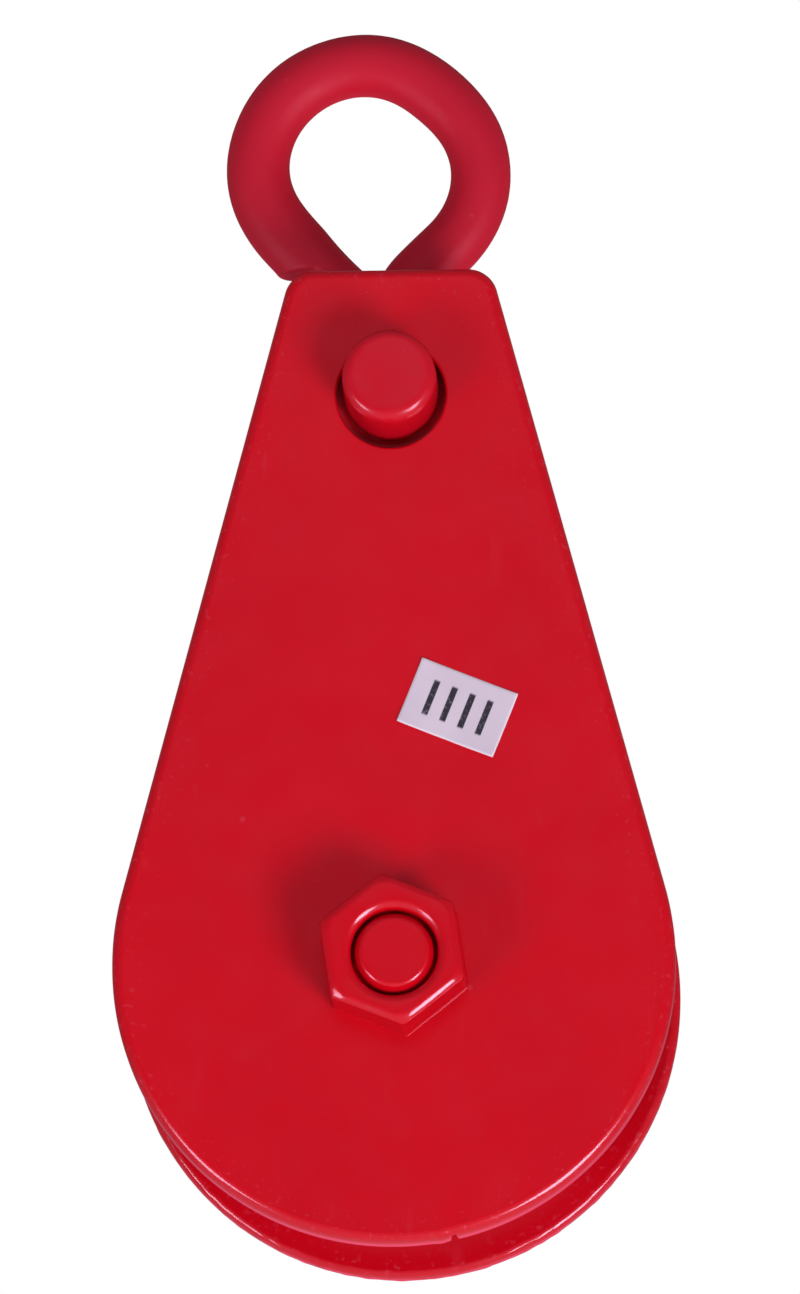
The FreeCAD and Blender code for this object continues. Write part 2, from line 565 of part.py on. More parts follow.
PIECES = {
    "front_cheek": front_cheek,
    "rear_cheek": rear_cheek,
    "axle_bolt": axle_bolt,
    "axle_nut": axle_nut,
    "axle_washer": axle_washer,
    "cheek_bush": cheek_bush,
    "front_spacer": lambda: spacer(FRONT_INNER_Y, -BEARING_HALF),
    "rear_spacer": lambda: spacer(BEARING_HALF, HALF_GAP),
    "sheave": sheave,
    "bearing_outer_ring": bearing_outer_ring,
    "bearing_inner_ring": bearing_inner_ring,
    "bearing_balls": bearing_balls,
    "bearing_cage": bearing_cage,
    "bearing_shield_front": lambda: bearing_shield(-1),
    "bearing_shield_rear": lambda: bearing_shield(1),
    "bearing_circlip": bearing_circlip,
    "crosshead": crosshead,
    "eye": eye,
    "swivel_washer": swivel_washer,
    "swivel_nut": swivel_nut,
    "swivel_split_pin": swivel_split_pin,
}

os.makedirs("parts", exist_ok=True)
for node, make in PIECES.items():
    shape = make()
    shape.exportStep("parts/" + node + ".step")
    print(node, "solids", len(shape.Solids), "valid", shape.isValid(), "volume", round(shape.Volume, 1))
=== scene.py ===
import math

import bmesh
import bpy
from mathutils import Matrix, Vector, noise


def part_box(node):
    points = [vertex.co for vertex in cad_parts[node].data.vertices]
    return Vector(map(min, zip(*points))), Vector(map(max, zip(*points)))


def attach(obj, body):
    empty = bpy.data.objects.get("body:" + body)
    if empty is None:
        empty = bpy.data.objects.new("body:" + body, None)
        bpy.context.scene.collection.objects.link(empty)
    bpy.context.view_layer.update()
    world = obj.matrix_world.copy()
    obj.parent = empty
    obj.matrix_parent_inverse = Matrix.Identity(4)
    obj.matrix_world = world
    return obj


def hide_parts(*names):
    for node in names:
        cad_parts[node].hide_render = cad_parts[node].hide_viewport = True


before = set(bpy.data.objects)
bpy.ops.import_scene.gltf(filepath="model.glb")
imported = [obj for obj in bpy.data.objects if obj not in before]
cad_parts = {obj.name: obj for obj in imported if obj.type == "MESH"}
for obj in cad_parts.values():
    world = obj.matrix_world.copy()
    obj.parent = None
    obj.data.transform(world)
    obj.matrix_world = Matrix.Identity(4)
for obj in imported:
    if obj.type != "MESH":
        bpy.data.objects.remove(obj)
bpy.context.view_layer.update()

# Camera. The photograph looks up at the block from a little below it and a little to its
# right, through a long lens, with the block hanging very slightly out of plumb.
CAMERA_TARGET = Vector((0.00058, 0.00014, -0.08754))
CAMERA_DISTANCE = 2.545
CAMERA_AZIMUTH_DEG = 2.46
CAMERA_ELEVATION_DEG = -12.08
CAMERA_ROLL_DEG = -0.24
LENS_MM = 396.05
SENSOR_MM = 36.0


def in_scene(name, data):
    """A new object in the scene, at the origin."""
    thing = bpy.data.objects.new(name, data)
    bpy.context.scene.collection.objects.link(thing)
    return thing


azimuth = math.radians(CAMERA_AZIMUTH_DEG)
elevation = math.radians(CAMERA_ELEVATION_DEG)
roll = math.radians(CAMERA_ROLL_DEG)
level_right = Vector((math.cos(azimuth), math.sin(azimuth), 0.0))
back = Vector((math.sin(azimuth) * math.cos(elevation), -math.cos(azimuth) * math.cos(elevation),
               math.sin(elevation)))
level_up = back.cross(level_right)
right = level_right * math.cos(roll) + level_up * math.sin(roll)
up = level_up * math.cos(roll) - level_right * math.sin(roll)

camera_data = bpy.data.cameras.new("camera")
camera_data.lens = LENS_MM
camera_data.sensor_width = SENSOR_MM
camera_data.clip_start = 0.1
camera_data.clip_end = 20.0
camera = in_scene("camera", camera_data)
turn = Matrix((right, up, back)).transposed().to_4x4()
camera.matrix_world = Matrix.Translation(CAMERA_TARGET + back * CAMERA_DISTANCE) @ turn
bpy.context.scene.camera = camera
bpy.context.scene.view_settings.view_transform = "Standard"

# Floor. A plain pale studio floor far below the hanging block, which takes its soft shadow.
# The camera sees it nearly as white as the world behind, and a gloss sees it as a soft grey.
FLOOR_Z = -3.2
FLOOR_HALF = 12.0
FLOOR_COLOUR = (0.6, 0.6, 0.6, 1.0)
FLOOR_GLOW = 0.80
FLOOR_IN_GLOSS = 0.45
FLOOR_ROUGHNESS = 0.9


def new_finish(name):
    """A new material with its nodes, its links and its main shader."""
    material = bpy.data.materials.new(name)
    material.use_nodes = True
    tree = material.node_tree
    return material, tree.nodes, tree.links, tree.nodes["Principled BSDF"]


def joined(nodes, links, operation, first, second):
    """Two values put together by a math operation."""
    math_node = nodes.new("ShaderNodeMath")
    math_node.operation = operation
    links.new(first, math_node.inputs[0])
    if isinstance(second, bpy.types.NodeSocket):
        links.new(second, math_node.inputs[1])
    else:
        math_node.inputs[1].default_value = second
    return math_node.outputs[0]


def seen_directly(nodes, links, in_gloss):
    """A socket that is 1 for rays from the camera or through glass, and a share in a gloss."""
    path = nodes.new("ShaderNodeLightPath")
    mirrored = joined(nodes, links, "MULTIPLY", path.outputs["Is Glossy Ray"], in_gloss)
    gloss = joined(nodes, links, "MAXIMUM", mirrored, path.outputs["Is Transmission Ray"])
    return joined(nodes, links, "MAXIMUM", path.outputs["Is Camera Ray"], gloss)


floor_mesh = bpy.data.meshes.new("floor")
floor_mesh.from_pydata([(-FLOOR_HALF, -FLOOR_HALF, FLOOR_Z), (FLOOR_HALF, -FLOOR_HALF, FLOOR_Z),
                        (FLOOR_HALF, FLOOR_HALF, FLOOR_Z), (-FLOOR_HALF, FLOOR_HALF, FLOOR_Z)],
                       [], [(0, 1, 2, 3)])
floor = in_scene("floor", floor_mesh)
floor_paint, floor_nodes, floor_links, floor_shader = new_finish("floor")
floor_shader.inputs["Base Color"].default_value = FLOOR_COLOUR
floor_shader.inputs["Roughness"].default_value = FLOOR_ROUGHNESS
floor_shader.inputs["Specular IOR Level"].default_value = 0.0
floor_glow = floor_nodes.new("ShaderNodeEmission")
floor_seen = seen_directly(floor_nodes, floor_links, FLOOR_IN_GLOSS)
floor_strength = joined(floor_nodes, floor_links, "MULTIPLY", floor_seen, FLOOR_GLOW)
floor_links.new(floor_strength, floor_glow.inputs["Strength"])
floor_sum = floor_nodes.new("ShaderNodeAddShader")
floor_links.new(floor_shader.outputs[0], floor_sum.inputs[0])
floor_links.new(floor_glow.outputs[0], floor_sum.inputs[1])
floor_links.new(floor_sum.outputs[0], floor_nodes["Material Output"].inputs["Surface"])
floor_mesh.materials.append(floor_paint)

# Reflection tent. A grey glowing sheet round and over the block that only a gloss sees: a painted
# reflection, darkest in front, paler near its foot and a bright rosy glow low behind. It lights
# nothing.
TENT_FOOT_R = 3.2
TENT_TOP_R = 0.3
TENT_FOOT_Z = -2.4
TENT_TOP_Z = 3.4
TENT_SIDES = 48
TENT_FRONT = (0.045, 0.045, 0.050, 1.0)
TENT_SIDE = (0.130, 0.124, 0.140, 1.0)
TENT_FOOT = (0.38, 0.33, 0.35, 1.0)
# Painted reflection: a rosy glow brighter than white, low behind the block, seen only in the gloss.
TENT_ROSY_GLOW_BEHIND = (1.70, 0.22, 0.44, 1.0)
TENT_FRONT_Y = (-2.7, -1.2)
TENT_BACK_Y = (1.2, 2.6)
TENT_FOOT_BAND = (-0.30, -0.80)
TENT_BEHIND_BAND = (0.35, -0.45)
FACES_DOWN = -0.9


def mesh_of(build, name):
    """A finished build as a mesh."""
    mesh = bpy.data.meshes.new(name)
    build.to_mesh(mesh)
    build.free()
    return mesh


def spread(nodes, links, value, low, high, out_low=0.0, out_high=1.0):
    """A value's range from low to high as another range, held at its ends."""
    ranged = nodes.new("ShaderNodeMapRange")
    ranged.inputs["From Min"].default_value = low
    ranged.inputs["From Max"].default_value = high
    ranged.inputs["To Min"].default_value = out_low
    ranged.inputs["To Max"].default_value = out_high
    links.new(value, ranged.inputs["Value"])
    return ranged.outputs["Result"]


def blended(nodes, links, share, first, second):
    """A colour from the first to the second as the share goes from 0 to 1."""
    mix = nodes.new("ShaderNodeMix")
    mix.data_type = "RGBA"
    links.new(share, mix.inputs["Factor"])
    for socket, colour in ((mix.inputs[6], first), (mix.inputs[7], second)):
        if isinstance(colour, bpy.types.NodeSocket):
            links.new(colour, socket)
        else:
            socket.default_value = colour
    return mix.outputs[2]


tent_build = bmesh.new()
bmesh.ops.create_cone(tent_build, cap_ends=True, segments=TENT_SIDES, radius1=TENT_FOOT_R,
                      radius2=TENT_TOP_R, depth=TENT_TOP_Z - TENT_FOOT_Z,
                      matrix=Matrix.Translation((0, 0, (TENT_TOP_Z + TENT_FOOT_Z) / 2)))
foot_cap = [face for face in tent_build.faces if face.normal.z < FACES_DOWN]
bmesh.ops.delete(tent_build, geom=foot_cap, context="FACES")
bmesh.ops.reverse_faces(tent_build, faces=tent_build.faces)
tent_mesh = mesh_of(tent_build, "reflection_glow_tent")
tent = in_scene("reflection_glow_tent", tent_mesh)
tent_glow_finish, tent_nodes, tent_links = new_finish("reflection_glow_tent")[:3]
tent_coords = tent_nodes.new("ShaderNodeTexCoord")
tent_place = tent_nodes.new("ShaderNodeSeparateXYZ")
tent_links.new(tent_coords.outputs["Object"], tent_place.inputs[0])
beside, low, behind, low_enough = [
    spread(tent_nodes, tent_links, tent_place.outputs[axis], *band)
    for axis, band in (("Y", TENT_FRONT_Y), ("Z", TENT_FOOT_BAND), ("Y", TENT_BACK_Y),
                       ("Z", TENT_BEHIND_BAND))]
# Where the tent paints its rosy reflection: behind the block and low.
rosy_glow_share = joined(tent_nodes, tent_links, "MULTIPLY", behind, low_enough)
tent_colour = TENT_FRONT
for share, over in ((beside, TENT_SIDE), (low, TENT_FOOT), (rosy_glow_share, TENT_ROSY_GLOW_BEHIND)):
    tent_colour = blended(tent_nodes, tent_links, share, tent_colour, over)
tent_glow = tent_nodes.new("ShaderNodeEmission")
tent_links.new(tent_colour, tent_glow.inputs["Color"])
tent_links.new(tent_glow.outputs[0], tent_nodes["Material Output"].inputs["Surface"])
tent_mesh.materials.append(tent_glow_finish)
tent.visible_camera = False
tent.visible_diffuse = False
tent.visible_shadow = False

# World. Plain and even: white where it is seen, and a soft grey fill as light.
FILL_STRENGTH = 0.385
FILL_COLOUR = (0.93, 0.95, 1.0, 1.0)

world = bpy.data.worlds.new("world")
bpy.context.scene.world = world
world.use_nodes = True
world_nodes = world.node_tree.nodes
world_links = world.node_tree.links
world_nodes.clear()
fill = world_nodes.new("ShaderNodeBackground")
fill.inputs["Color"].default_value = FILL_COLOUR
fill.inputs["Strength"].default_value = FILL_STRENGTH
white = world_nodes.new("ShaderNodeBackground")
white.inputs["Color"].default_value = (1.0, 1.0, 1.0, 1.0)
white.inputs["Strength"].default_value = 1.0
choose = world_nodes.new("ShaderNodeMixShader")
world_links.new(seen_directly(world_nodes, world_links, 1.0), choose.inputs["Fac"])
world_links.new(fill.outputs[0], choose.inputs[1])
world_links.new(white.outputs[0], choose.inputs[2])
world_out = world_nodes.new("ShaderNodeOutputWorld")
world_links.new(choose.outputs[0], world_out.inputs["Surface"])

# Lamps. Two large soft boxes low in front, the right one stronger, throw the pin's and the
# nut's soft shadows upwards to both sides. Two wide dull ones even out the front and the back.
LIGHT_CENTRE = Vector((0.0, 0.0, -0.12))


def soft_box(name, place, size, watts):
    """A square lamp that looks at the block."""
    data = bpy.data.lights.new(name, "AREA")
    data.shape = "SQUARE"
    data.size = size
    data.energy = watts
    lamp = in_scene(name, data)
    lamp.location = place
    lamp.rotation_mode = "QUATERNION"
    lamp.rotation_quaternion = (LIGHT_CENTRE - Vector(place)).to_track_quat("-Z", "Y")
    lamp.visible_camera = False
    return lamp


soft_box("key_lamp", place=(1.33, -1.45, -1.50), size=0.88, watts=42.6)
soft_box("side_lamp", place=(-1.57, -1.42, -1.30), size=0.78, watts=19.6)
wide_lamp = soft_box("wide_lamp", place=(0.1, -2.0, 0.75), size=0.9, watts=4.6)
wide_lamp.visible_glossy = False
back_lamp = soft_box("back_lamp", place=(0.3, 2.3, 0.4), size=1.0, watts=17.0)
back_lamp.visible_glossy = False

# Red enamel. The whole block was painted once it was together, in a thick glossy red that
# runs over every edge and dries with a faint orange peel, a few nibs and some dull scuffs.
RED = (0.594, 0.0008, 0.0082, 1.0)
# The eye's red, darker and pinker than the plates': painted shade and a painted pink sheen.
SHADE_AND_SHEEN_RED = (0.512, 0.0045, 0.0210, 1.0)
# The crosshead's red, pinker than the plates': a painted sheen; its scuffs are wear.
RUBBED_SHEEN_RED = (0.580, 0.0030, 0.0140, 1.0)
DEEP_SHARE = 0.95
SHINE_TINT = (1.0, 0.74, 1.0, 1.0)
SCUFF_RED = (0.640, 0.045, 0.080, 1.0)
CLOUDS_PER_M = 38.0
CLOUD_FADE = (0.35, 0.70)
SCUFF_STRETCH = (300.0, 300.0, 75.0)
STREAK_FADE = (0.60, 0.74)
SCUFF_PATCHES_PER_M = 60.0
PATCH_FADE = (0.52, 0.68)
FULL_SCUFF_RIM = 0.5
SCUFF_ON_FACE = 0.25
NIBS_PER_M = 150.0
NIB_SIZE = 0.10
NIB_SHARE = 0.10
NIB_CORE = 0.3
CHIPS_PER_M = 900.0
CHIP_FADE = (0.60, 0.70)
SMALL_MARK_SHARE = 0.35
GLOSS_CLOUDS_PER_M = 140.0
GLOSS_FADE = (0.3, 0.7)
DULL_ROUGHNESS = 0.25
PEEL_PER_M = 620.0
PEEL_DEPTH = 0.000010
SAG_PER_M = 85.0
SAG_DEPTH = 0.000040
NIB_DEPTH = 0.000050


def on_piece(nodes, links, stretch=(1.0, 1.0, 1.0), shift=(0.0, 0.0, 0.0)):
    """The piece's own coordinates, shifted after they are stretched."""
    coords = nodes.new("ShaderNodeTexCoord")
    mapping = nodes.new("ShaderNodeMapping")
    mapping.inputs["Scale"].default_value = stretch
    mapping.inputs["Location"].default_value = shift
    links.new(coords.outputs["Object"], mapping.inputs["Vector"])
    return mapping.outputs["Vector"]


def clouded(nodes, links, where, per_m, detail=2.0):
    """A cloudy pattern from 0 to 1."""
    pattern = nodes.new("ShaderNodeTexNoise")
    pattern.inputs["Scale"].default_value = per_m
    pattern.inputs["Detail"].default_value = detail
    links.new(where, pattern.inputs["Vector"])
    return pattern.outputs["Fac"]


def raised(nodes, links, height, depth, over=None):
    """A surface raised by a pattern, to a depth in metres, over another bump."""
    bump = nodes.new("ShaderNodeBump")
    bump.inputs["Distance"].default_value = depth
    links.new(height, bump.inputs["Height"])
    if over is not None:
        links.new(over, bump.inputs["Normal"])
    return bump.outputs["Normal"]


def scattered_dots(nodes, links, where, per_m, size, share):
    """Round dots from 0 to 1, in only a share of the cells of a scattered grid."""
    cells = nodes.new("ShaderNodeTexVoronoi")
    cells.inputs["Scale"].default_value = per_m
    links.new(where, cells.inputs["Vector"])
    dot = spread(nodes, links, cells.outputs["Distance"], size * NIB_CORE, size, 1.0, 0.0)
    lot = nodes.new("ShaderNodeSeparateColor")
    links.new(cells.outputs["Color"], lot.inputs["Color"])
    kept = joined(nodes, links, "LESS_THAN", lot.outputs["Red"], share)
    return joined(nodes, links, "MULTIPLY", dot, kept)


def make_enamel(name, red, gloss_low, gloss_high, shine, wear):
    """Red enamel of a colour: how rough its gloss is, how strong, and how scuffed it is."""
    material, nodes, links, shader = new_finish(name)
    where = on_piece(nodes, links)
    cloud = clouded(nodes, links, where, CLOUDS_PER_M)
    deep = (red[0] * DEEP_SHARE, red[1], red[2], 1.0)
    colour = blended(nodes, links, spread(nodes, links, cloud, *CLOUD_FADE), red, deep)
    streak = clouded(nodes, links, on_piece(nodes, links, SCUFF_STRETCH), 1.0, 4.0)
    streak = spread(nodes, links, streak, *STREAK_FADE)
    patch = clouded(nodes, links, where, SCUFF_PATCHES_PER_M)
    scuff = joined(nodes, links, "MULTIPLY", streak, spread(nodes, links, patch, *PATCH_FADE))
    nib = scattered_dots(nodes, links, where, NIBS_PER_M, NIB_SIZE, NIB_SHARE)
    rim = nodes.new("ShaderNodeAttribute")
    rim.attribute_name = "rim"
    edge_share = spread(nodes, links, rim.outputs["Fac"], 0.0, FULL_SCUFF_RIM, SCUFF_ON_FACE, 1.0)
    scuff = joined(nodes, links, "MULTIPLY", scuff, edge_share)
    chips = spread(nodes, links, clouded(nodes, links, where, CHIPS_PER_M, 3.0), *CHIP_FADE)
    chips = joined(nodes, links, "MULTIPLY", chips, rim.outputs["Fac"])
    dull = joined(nodes, links, "MULTIPLY", scuff, wear)
    for marks in (nib, chips):
        faint = joined(nodes, links, "MULTIPLY", marks, SMALL_MARK_SHARE)
        dull = joined(nodes, links, "MAXIMUM", dull, faint)
    links.new(blended(nodes, links, dull, colour, SCUFF_RED), shader.inputs["Base Color"])
    gloss = clouded(nodes, links, where, GLOSS_CLOUDS_PER_M, 3.0)
    gloss = spread(nodes, links, gloss, *GLOSS_FADE, gloss_low, gloss_high)
    rubbed = joined(nodes, links, "MULTIPLY", dull, DULL_ROUGHNESS)
    links.new(joined(nodes, links, "ADD", gloss, rubbed), shader.inputs["Roughness"])
    shader.inputs["Specular IOR Level"].default_value = shine
    shader.inputs["Specular Tint"].default_value = SHINE_TINT
    sag = raised(nodes, links, clouded(nodes, links, where, SAG_PER_M), SAG_DEPTH)
    peel = raised(nodes, links, clouded(nodes, links, where, PEEL_PER_M), PEEL_DEPTH, sag)
    links.new(raised(nodes, links, nib, NIB_DEPTH, peel), shader.inputs["Normal"])
    return material


enamel = make_enamel("red_enamel_coat", RED,
                     gloss_low=0.13, gloss_high=0.20, shine=0.60, wear=0.40)
# The eye's dull enamel carries painted shade and a painted pink sheen in its red.
dull_shade_and_sheen_enamel = make_enamel("red_enamel_dull_shade_and_sheen", SHADE_AND_SHEEN_RED,
                          gloss_low=0.48, gloss_high=0.60, shine=0.26, wear=0.60)
# The crosshead's rubbed enamel: real scuffs, and a pinker red that is a painted sheen.
rubbed_sheen_enamel = make_enamel("red_enamel_rubbed_painted_sheen", RUBBED_SHEEN_RED,
                            gloss_low=0.16, gloss_high=0.28, shine=0.50, wear=0.80)

# Eye. One round bar bent to a ring by hand, a little out of round, its second leg closed on
# the shank. It was painted thickly enough to fill the crotch and soften every edge.
EYE_GRAIN = 0.00045
EYE_PASSES = 7
RING_CENTRE = Vector((-0.0050, 0.0, 0.0))
RING_INNER_R = 0.0147
RING_OUTER_R = 0.0254
RING_PAINT_OUTSIDE = 0.00005
RING_PAINT_INSIDE = 0.00060
RING_BENDS = (
    {"at_deg": 45.0, "reach_deg": 31.0, "outer": -0.00100, "inner": -0.00125},
    {"at_deg": 220.0, "reach_deg": 30.0, "outer": -0.00072, "inner": -0.00128},
    {"at_deg": 348.0, "reach_deg": 59.0, "outer": 0.00065, "inner": 0.00120},
)
RING_KEPT_Z = -0.0215
RING_GONE_Z = -0.0300
HEEL = Vector((-0.0195, 0.0, -0.0196))
HEEL_REACH = 0.0022
HEEL_OUT = Vector((-0.00022, 0.0, -0.00030))
HEEL_LOWEST_Z = -0.0223
BAR_RIPPLE = 0.00010
BAR_RIPPLES_PER_M = 75.0
THREAD_TOP_Z = -0.0588
THREAD_ROOT_SHARE = 0.87
WELD = 0.000002
COAT_FLOW = 0.5


def settled(piece):
    """Makes what a piece's modifiers show its plain mesh."""
    drawn = piece.evaluated_get(bpy.context.evaluated_depsgraph_get())
    mesh = bpy.data.meshes.new_from_object(drawn)
    piece.modifiers.clear()
    piece.data = mesh
    return piece


def node_mesh(node):
    """A node's shape as one joined mesh."""
    build = bmesh.new()
    build.from_mesh(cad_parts[node].data)
    bmesh.ops.remove_doubles(build, verts=build.verts, dist=WELD)
    return mesh_of(build, node + "_bare")


def coated(name, mesh, grain, passes, finish=enamel):
    """A shape as thick enamel leaves it, with edges and inside corners rounded."""
    piece = in_scene(name, mesh)
    skin = piece.modifiers.new("skin", "REMESH")
    skin.mode = "VOXEL"
    skin.voxel_size = grain
    skin.use_smooth_shade = True
    flow = piece.modifiers.new("flow", "SMOOTH")
    flow.factor = COAT_FLOW
    flow.iterations = passes
    settled(piece)
    piece.data.materials.clear()
    piece.data.materials.append(finish)
    return piece


def ripple(mesh, depth, per_m, seed):
    """Moves a mesh in and out a little, as forged and painted metal is never quite true."""
    shift = Vector((seed, seed * 1.7, seed * 2.3))
    moves = [v.normal * (noise.noise(v.co * per_m + shift) * depth) for v in mesh.vertices]
    for vertex, move in zip(mesh.vertices, moves):
        vertex.co += move


def hang(piece, body, slot, *nodes):
    """Puts a finished piece on its body, in the place of its nodes. The slot is not used."""
    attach(piece, body)
    if nodes:
        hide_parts(*nodes)


def held_share(z):
    """How far the hand-bent shape holds at a height: fully on the ring, not on the shank."""
    share = min(max((z - RING_GONE_Z) / (RING_KEPT_Z - RING_GONE_Z), 0.0), 1.0)
    return share * share * (3.0 - 2.0 * share)


def ring_shift(around, radius):
    """How far the ring's paint and its hand-made bends take it from a true circle, outwards."""
    outer, inner = RING_PAINT_OUTSIDE, -RING_PAINT_INSIDE
    for bend in RING_BENDS:
        off = (around - bend["at_deg"] + 180.0) % 360.0 - 180.0
        share = math.exp(-(off / bend["reach_deg"]) ** 2)
        outer += share * bend["outer"]
        inner += share * bend["inner"]
    across = min(max((radius - RING_INNER_R) / (RING_OUTER_R - RING_INNER_R), 0.0), 1.0)
    return inner + (outer - inner) * across


# The eye in its dull red, which paints in shade and a pink sheen.
eye = coated("eye_coated", node_mesh("eye"), EYE_GRAIN, EYE_PASSES, dull_shade_and_sheen_enamel)
for vertex in eye.data.vertices:
    arm = vertex.co - RING_CENTRE
    arm.y = 0.0
    around = math.degrees(math.atan2(arm.z, arm.x)) % 360.0
    vertex.co += arm.normalized() * (ring_shift(around, arm.length) * held_share(vertex.co.z))
    heel = vertex.co - HEEL
    heel.y = 0.0
    if vertex.co.z > HEEL_LOWEST_Z:
        vertex.co += HEEL_OUT * math.exp(-(heel.length / HEEL_REACH) ** 2)
        vertex.co.z = max(vertex.co.z, HEEL_LOWEST_Z)
    if vertex.co.z < THREAD_TOP_Z:
        vertex.co.x *= THREAD_ROOT_SHARE
        vertex.co.y *= THREAD_ROOT_SHARE
ripple(eye.data, BAR_RIPPLE, BAR_RIPPLES_PER_M, seed=3.0)
hang(eye, "eye", "red_enamel", "eye")

# Shank thread. The rolled thread on the shank's end, as a ridge that climbs round it under
# the slotted nut.
SHANK_THREAD_R = 0.00443
SHANK_THREAD_PITCH = 0.0015
SHANK_THREAD_TURNS = 8.0
SHANK_THREAD_FROM_END = 0.0011
RIDGE_SHARE = 0.36
RIDGE_SIDES = 4
HELIX_STEPS = 48


def new_tree(name, floats, vectors=()):
    """A tree that takes geometry and named values, and gives geometry."""
    tree = bpy.data.node_groups.new(name, "GeometryNodeTree")
    face = tree.interface
    face.new_socket("Geometry", in_out="INPUT", socket_type="NodeSocketGeometry")
    for label in floats:
        face.new_socket(label, in_out="INPUT", socket_type="NodeSocketFloat")
    for label in vectors:
        face.new_socket(label, in_out="INPUT", socket_type="NodeSocketVector")
    face.new_socket("Geometry", in_out="OUTPUT", socket_type="NodeSocketGeometry")
    return tree, tree.nodes, tree.links, tree.nodes.new("NodeGroupInput")


def swept(nodes, links, path, radius, sides):
    """A path swept with a section of a radius and a number of sides, closed at its ends."""
    section = nodes.new("GeometryNodeCurvePrimitiveCircle")
    section.inputs["Resolution"].default_value = sides
    links.new(radius, section.inputs["Radius"])
    sweep = nodes.new("GeometryNodeCurveToMesh")
    sweep.inputs["Fill Caps"].default_value = True
    links.new(path, sweep.inputs["Curve"])
    links.new(section.outputs[0], sweep.inputs["Profile Curve"])
    return sweep.outputs[0]


def end_tree(nodes, links, geometry, material):
    """Ends a tree with real geometry in its material."""
    real = nodes.new("GeometryNodeRealizeInstances")
    links.new(geometry, real.inputs[0])
    coat = nodes.new("GeometryNodeSetMaterial")
    coat.inputs["Material"].default_value = material
    links.new(real.outputs[0], coat.inputs["Geometry"])
    links.new(coat.outputs[0], nodes.new("NodeGroupOutput").inputs[0])


def thread_tree(material):
    """A tree that sweeps a ridge along a helix and sets it in its place."""
    tree, nodes, links, given = new_tree("thread_ridge", ("Radius", "Pitch", "Turns", "Ridge"),
                                         ("Place",))
    helix = nodes.new("GeometryNodeCurveSpiral")
    helix.inputs["Resolution"].default_value = HELIX_STEPS
    links.new(given.outputs["Turns"], helix.inputs["Rotations"])
    links.new(given.outputs["Radius"], helix.inputs["Start Radius"])
    links.new(given.outputs["Radius"], helix.inputs["End Radius"])
    climb = joined(nodes, links, "MULTIPLY", given.outputs["Pitch"], given.outputs["Turns"])
    links.new(climb, helix.inputs["Height"])
    level = nodes.new("GeometryNodeSetCurveNormal")
    level.mode = "Z_UP"
    links.new(helix.outputs[0], level.inputs["Curve"])
    ridge = swept(nodes, links, level.outputs[0], given.outputs["Ridge"], RIDGE_SIDES)
    set_down = nodes.new("GeometryNodeTransform")
    links.new(ridge, set_down.inputs["Geometry"])
    links.new(given.outputs["Place"], set_down.inputs["Translation"])
    end_tree(nodes, links, set_down.outputs[0], material)
    return tree


def grown(name, tree, values, mesh=None):
    """A piece grown by a tree, with the tree's named inputs set, made a plain mesh."""
    piece = in_scene(name, mesh or bpy.data.meshes.new(name))
    growth = piece.modifiers.new("growth", "NODES")
    growth.node_group = tree
    sockets = {item.name: item.identifier for item in tree.interface.items_tree
               if item.item_type == "SOCKET" and item.in_out == "INPUT"}
    for label, value in values.items():
        growth[sockets[label]] = value
    return settled(piece)


thread_foot_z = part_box("eye")[0][2] + SHANK_THREAD_FROM_END
shank_thread = grown("shank_thread", thread_tree(enamel), {
    "Radius": SHANK_THREAD_R, "Pitch": SHANK_THREAD_PITCH, "Turns": SHANK_THREAD_TURNS,
    "Ridge": SHANK_THREAD_PITCH * RIDGE_SHARE, "Place": (0.0, 0.0, thread_foot_z)})
hang(shank_thread, "eye", "red_enamel")

# Crosshead. A turned bar across the plates that carries the eye, with its plain front end
# standing proud of the front plate and turned up a little. Its thick paint is rubbed and uneven,
# and its red is a little pinker than the plates': the scuffs are wear, the pinker red a painted
# sheen.
CROSSHEAD_GRAIN = 0.00034
CROSSHEAD_PASSES = 5
PIN_TILT_FROM_Y = -0.0165
PIN_TILT = 0.075
CROSSHEAD_RIPPLE = (0.00006, 160.0)
CROSSHEAD_DIMPLES = (0.00004, 480.0)

crosshead = coated("crosshead_coated", node_mesh("crosshead"), CROSSHEAD_GRAIN, CROSSHEAD_PASSES,
                   rubbed_sheen_enamel)
for vertex in crosshead.data.vertices:
    vertex.co.z += max(PIN_TILT_FROM_Y - vertex.co.y, 0.0) * PIN_TILT
ripple(crosshead.data, *CROSSHEAD_RIPPLE, seed=11.0)
ripple(crosshead.data, *CROSSHEAD_DIMPLES, seed=13.0)
hang(crosshead, "crosshead", "red_enamel", "crosshead")

# Cheek plates. Two flame-cut plates, dressed to a large radius outside and a small one
# inside, drilled for the crosshead and the axle. The rear one has a hooked slot instead of a hole.
CHEEK_TOP_HALF = 0.01785
CHEEK_CORNER_R = 0.0053
CHEEK_OUTER_EDGE = 0.0020
FRONT_INNER_EDGE = 0.0006
REAR_INNER_EDGE = 0.0014
FOOT_STEP_DEG = 0.25
CORNER_STEP_DEG = 4.0
EDGE_STEPS = 9
DEEPEST_INSET_SHARE = 0.92
AXLE_Z = -0.1488
PIN_HOLE_Z = -0.0458
PIN_HOLE_R = 0.0097
AXLE_HOLE_R = 0.0082
BUSH_HOLE_R = 0.01105
HOLE_EDGE = 0.0005
HOLE_EDGE_STEPS = 6
HOLE_SIDES = 120
CUT_PAST = 0.001
RIM_BAND = 0.0060
FRONT_RIM_WAVE = (0.00006, 130.0)
REAR_RIM_WAVE = (0.00014, 420.0)
FRONT_OUT_OF_TRUE = (0.0, 0.0035, 0.002)
REAR_OUT_OF_TRUE = (0.0003, 0.010, 0.010)
OUT_OF_TRUE_RUN = 0.020
NICK_DEG = -77.8
NICK_REACH_DEG = 0.5
NICK_DEPTH = 0.0010
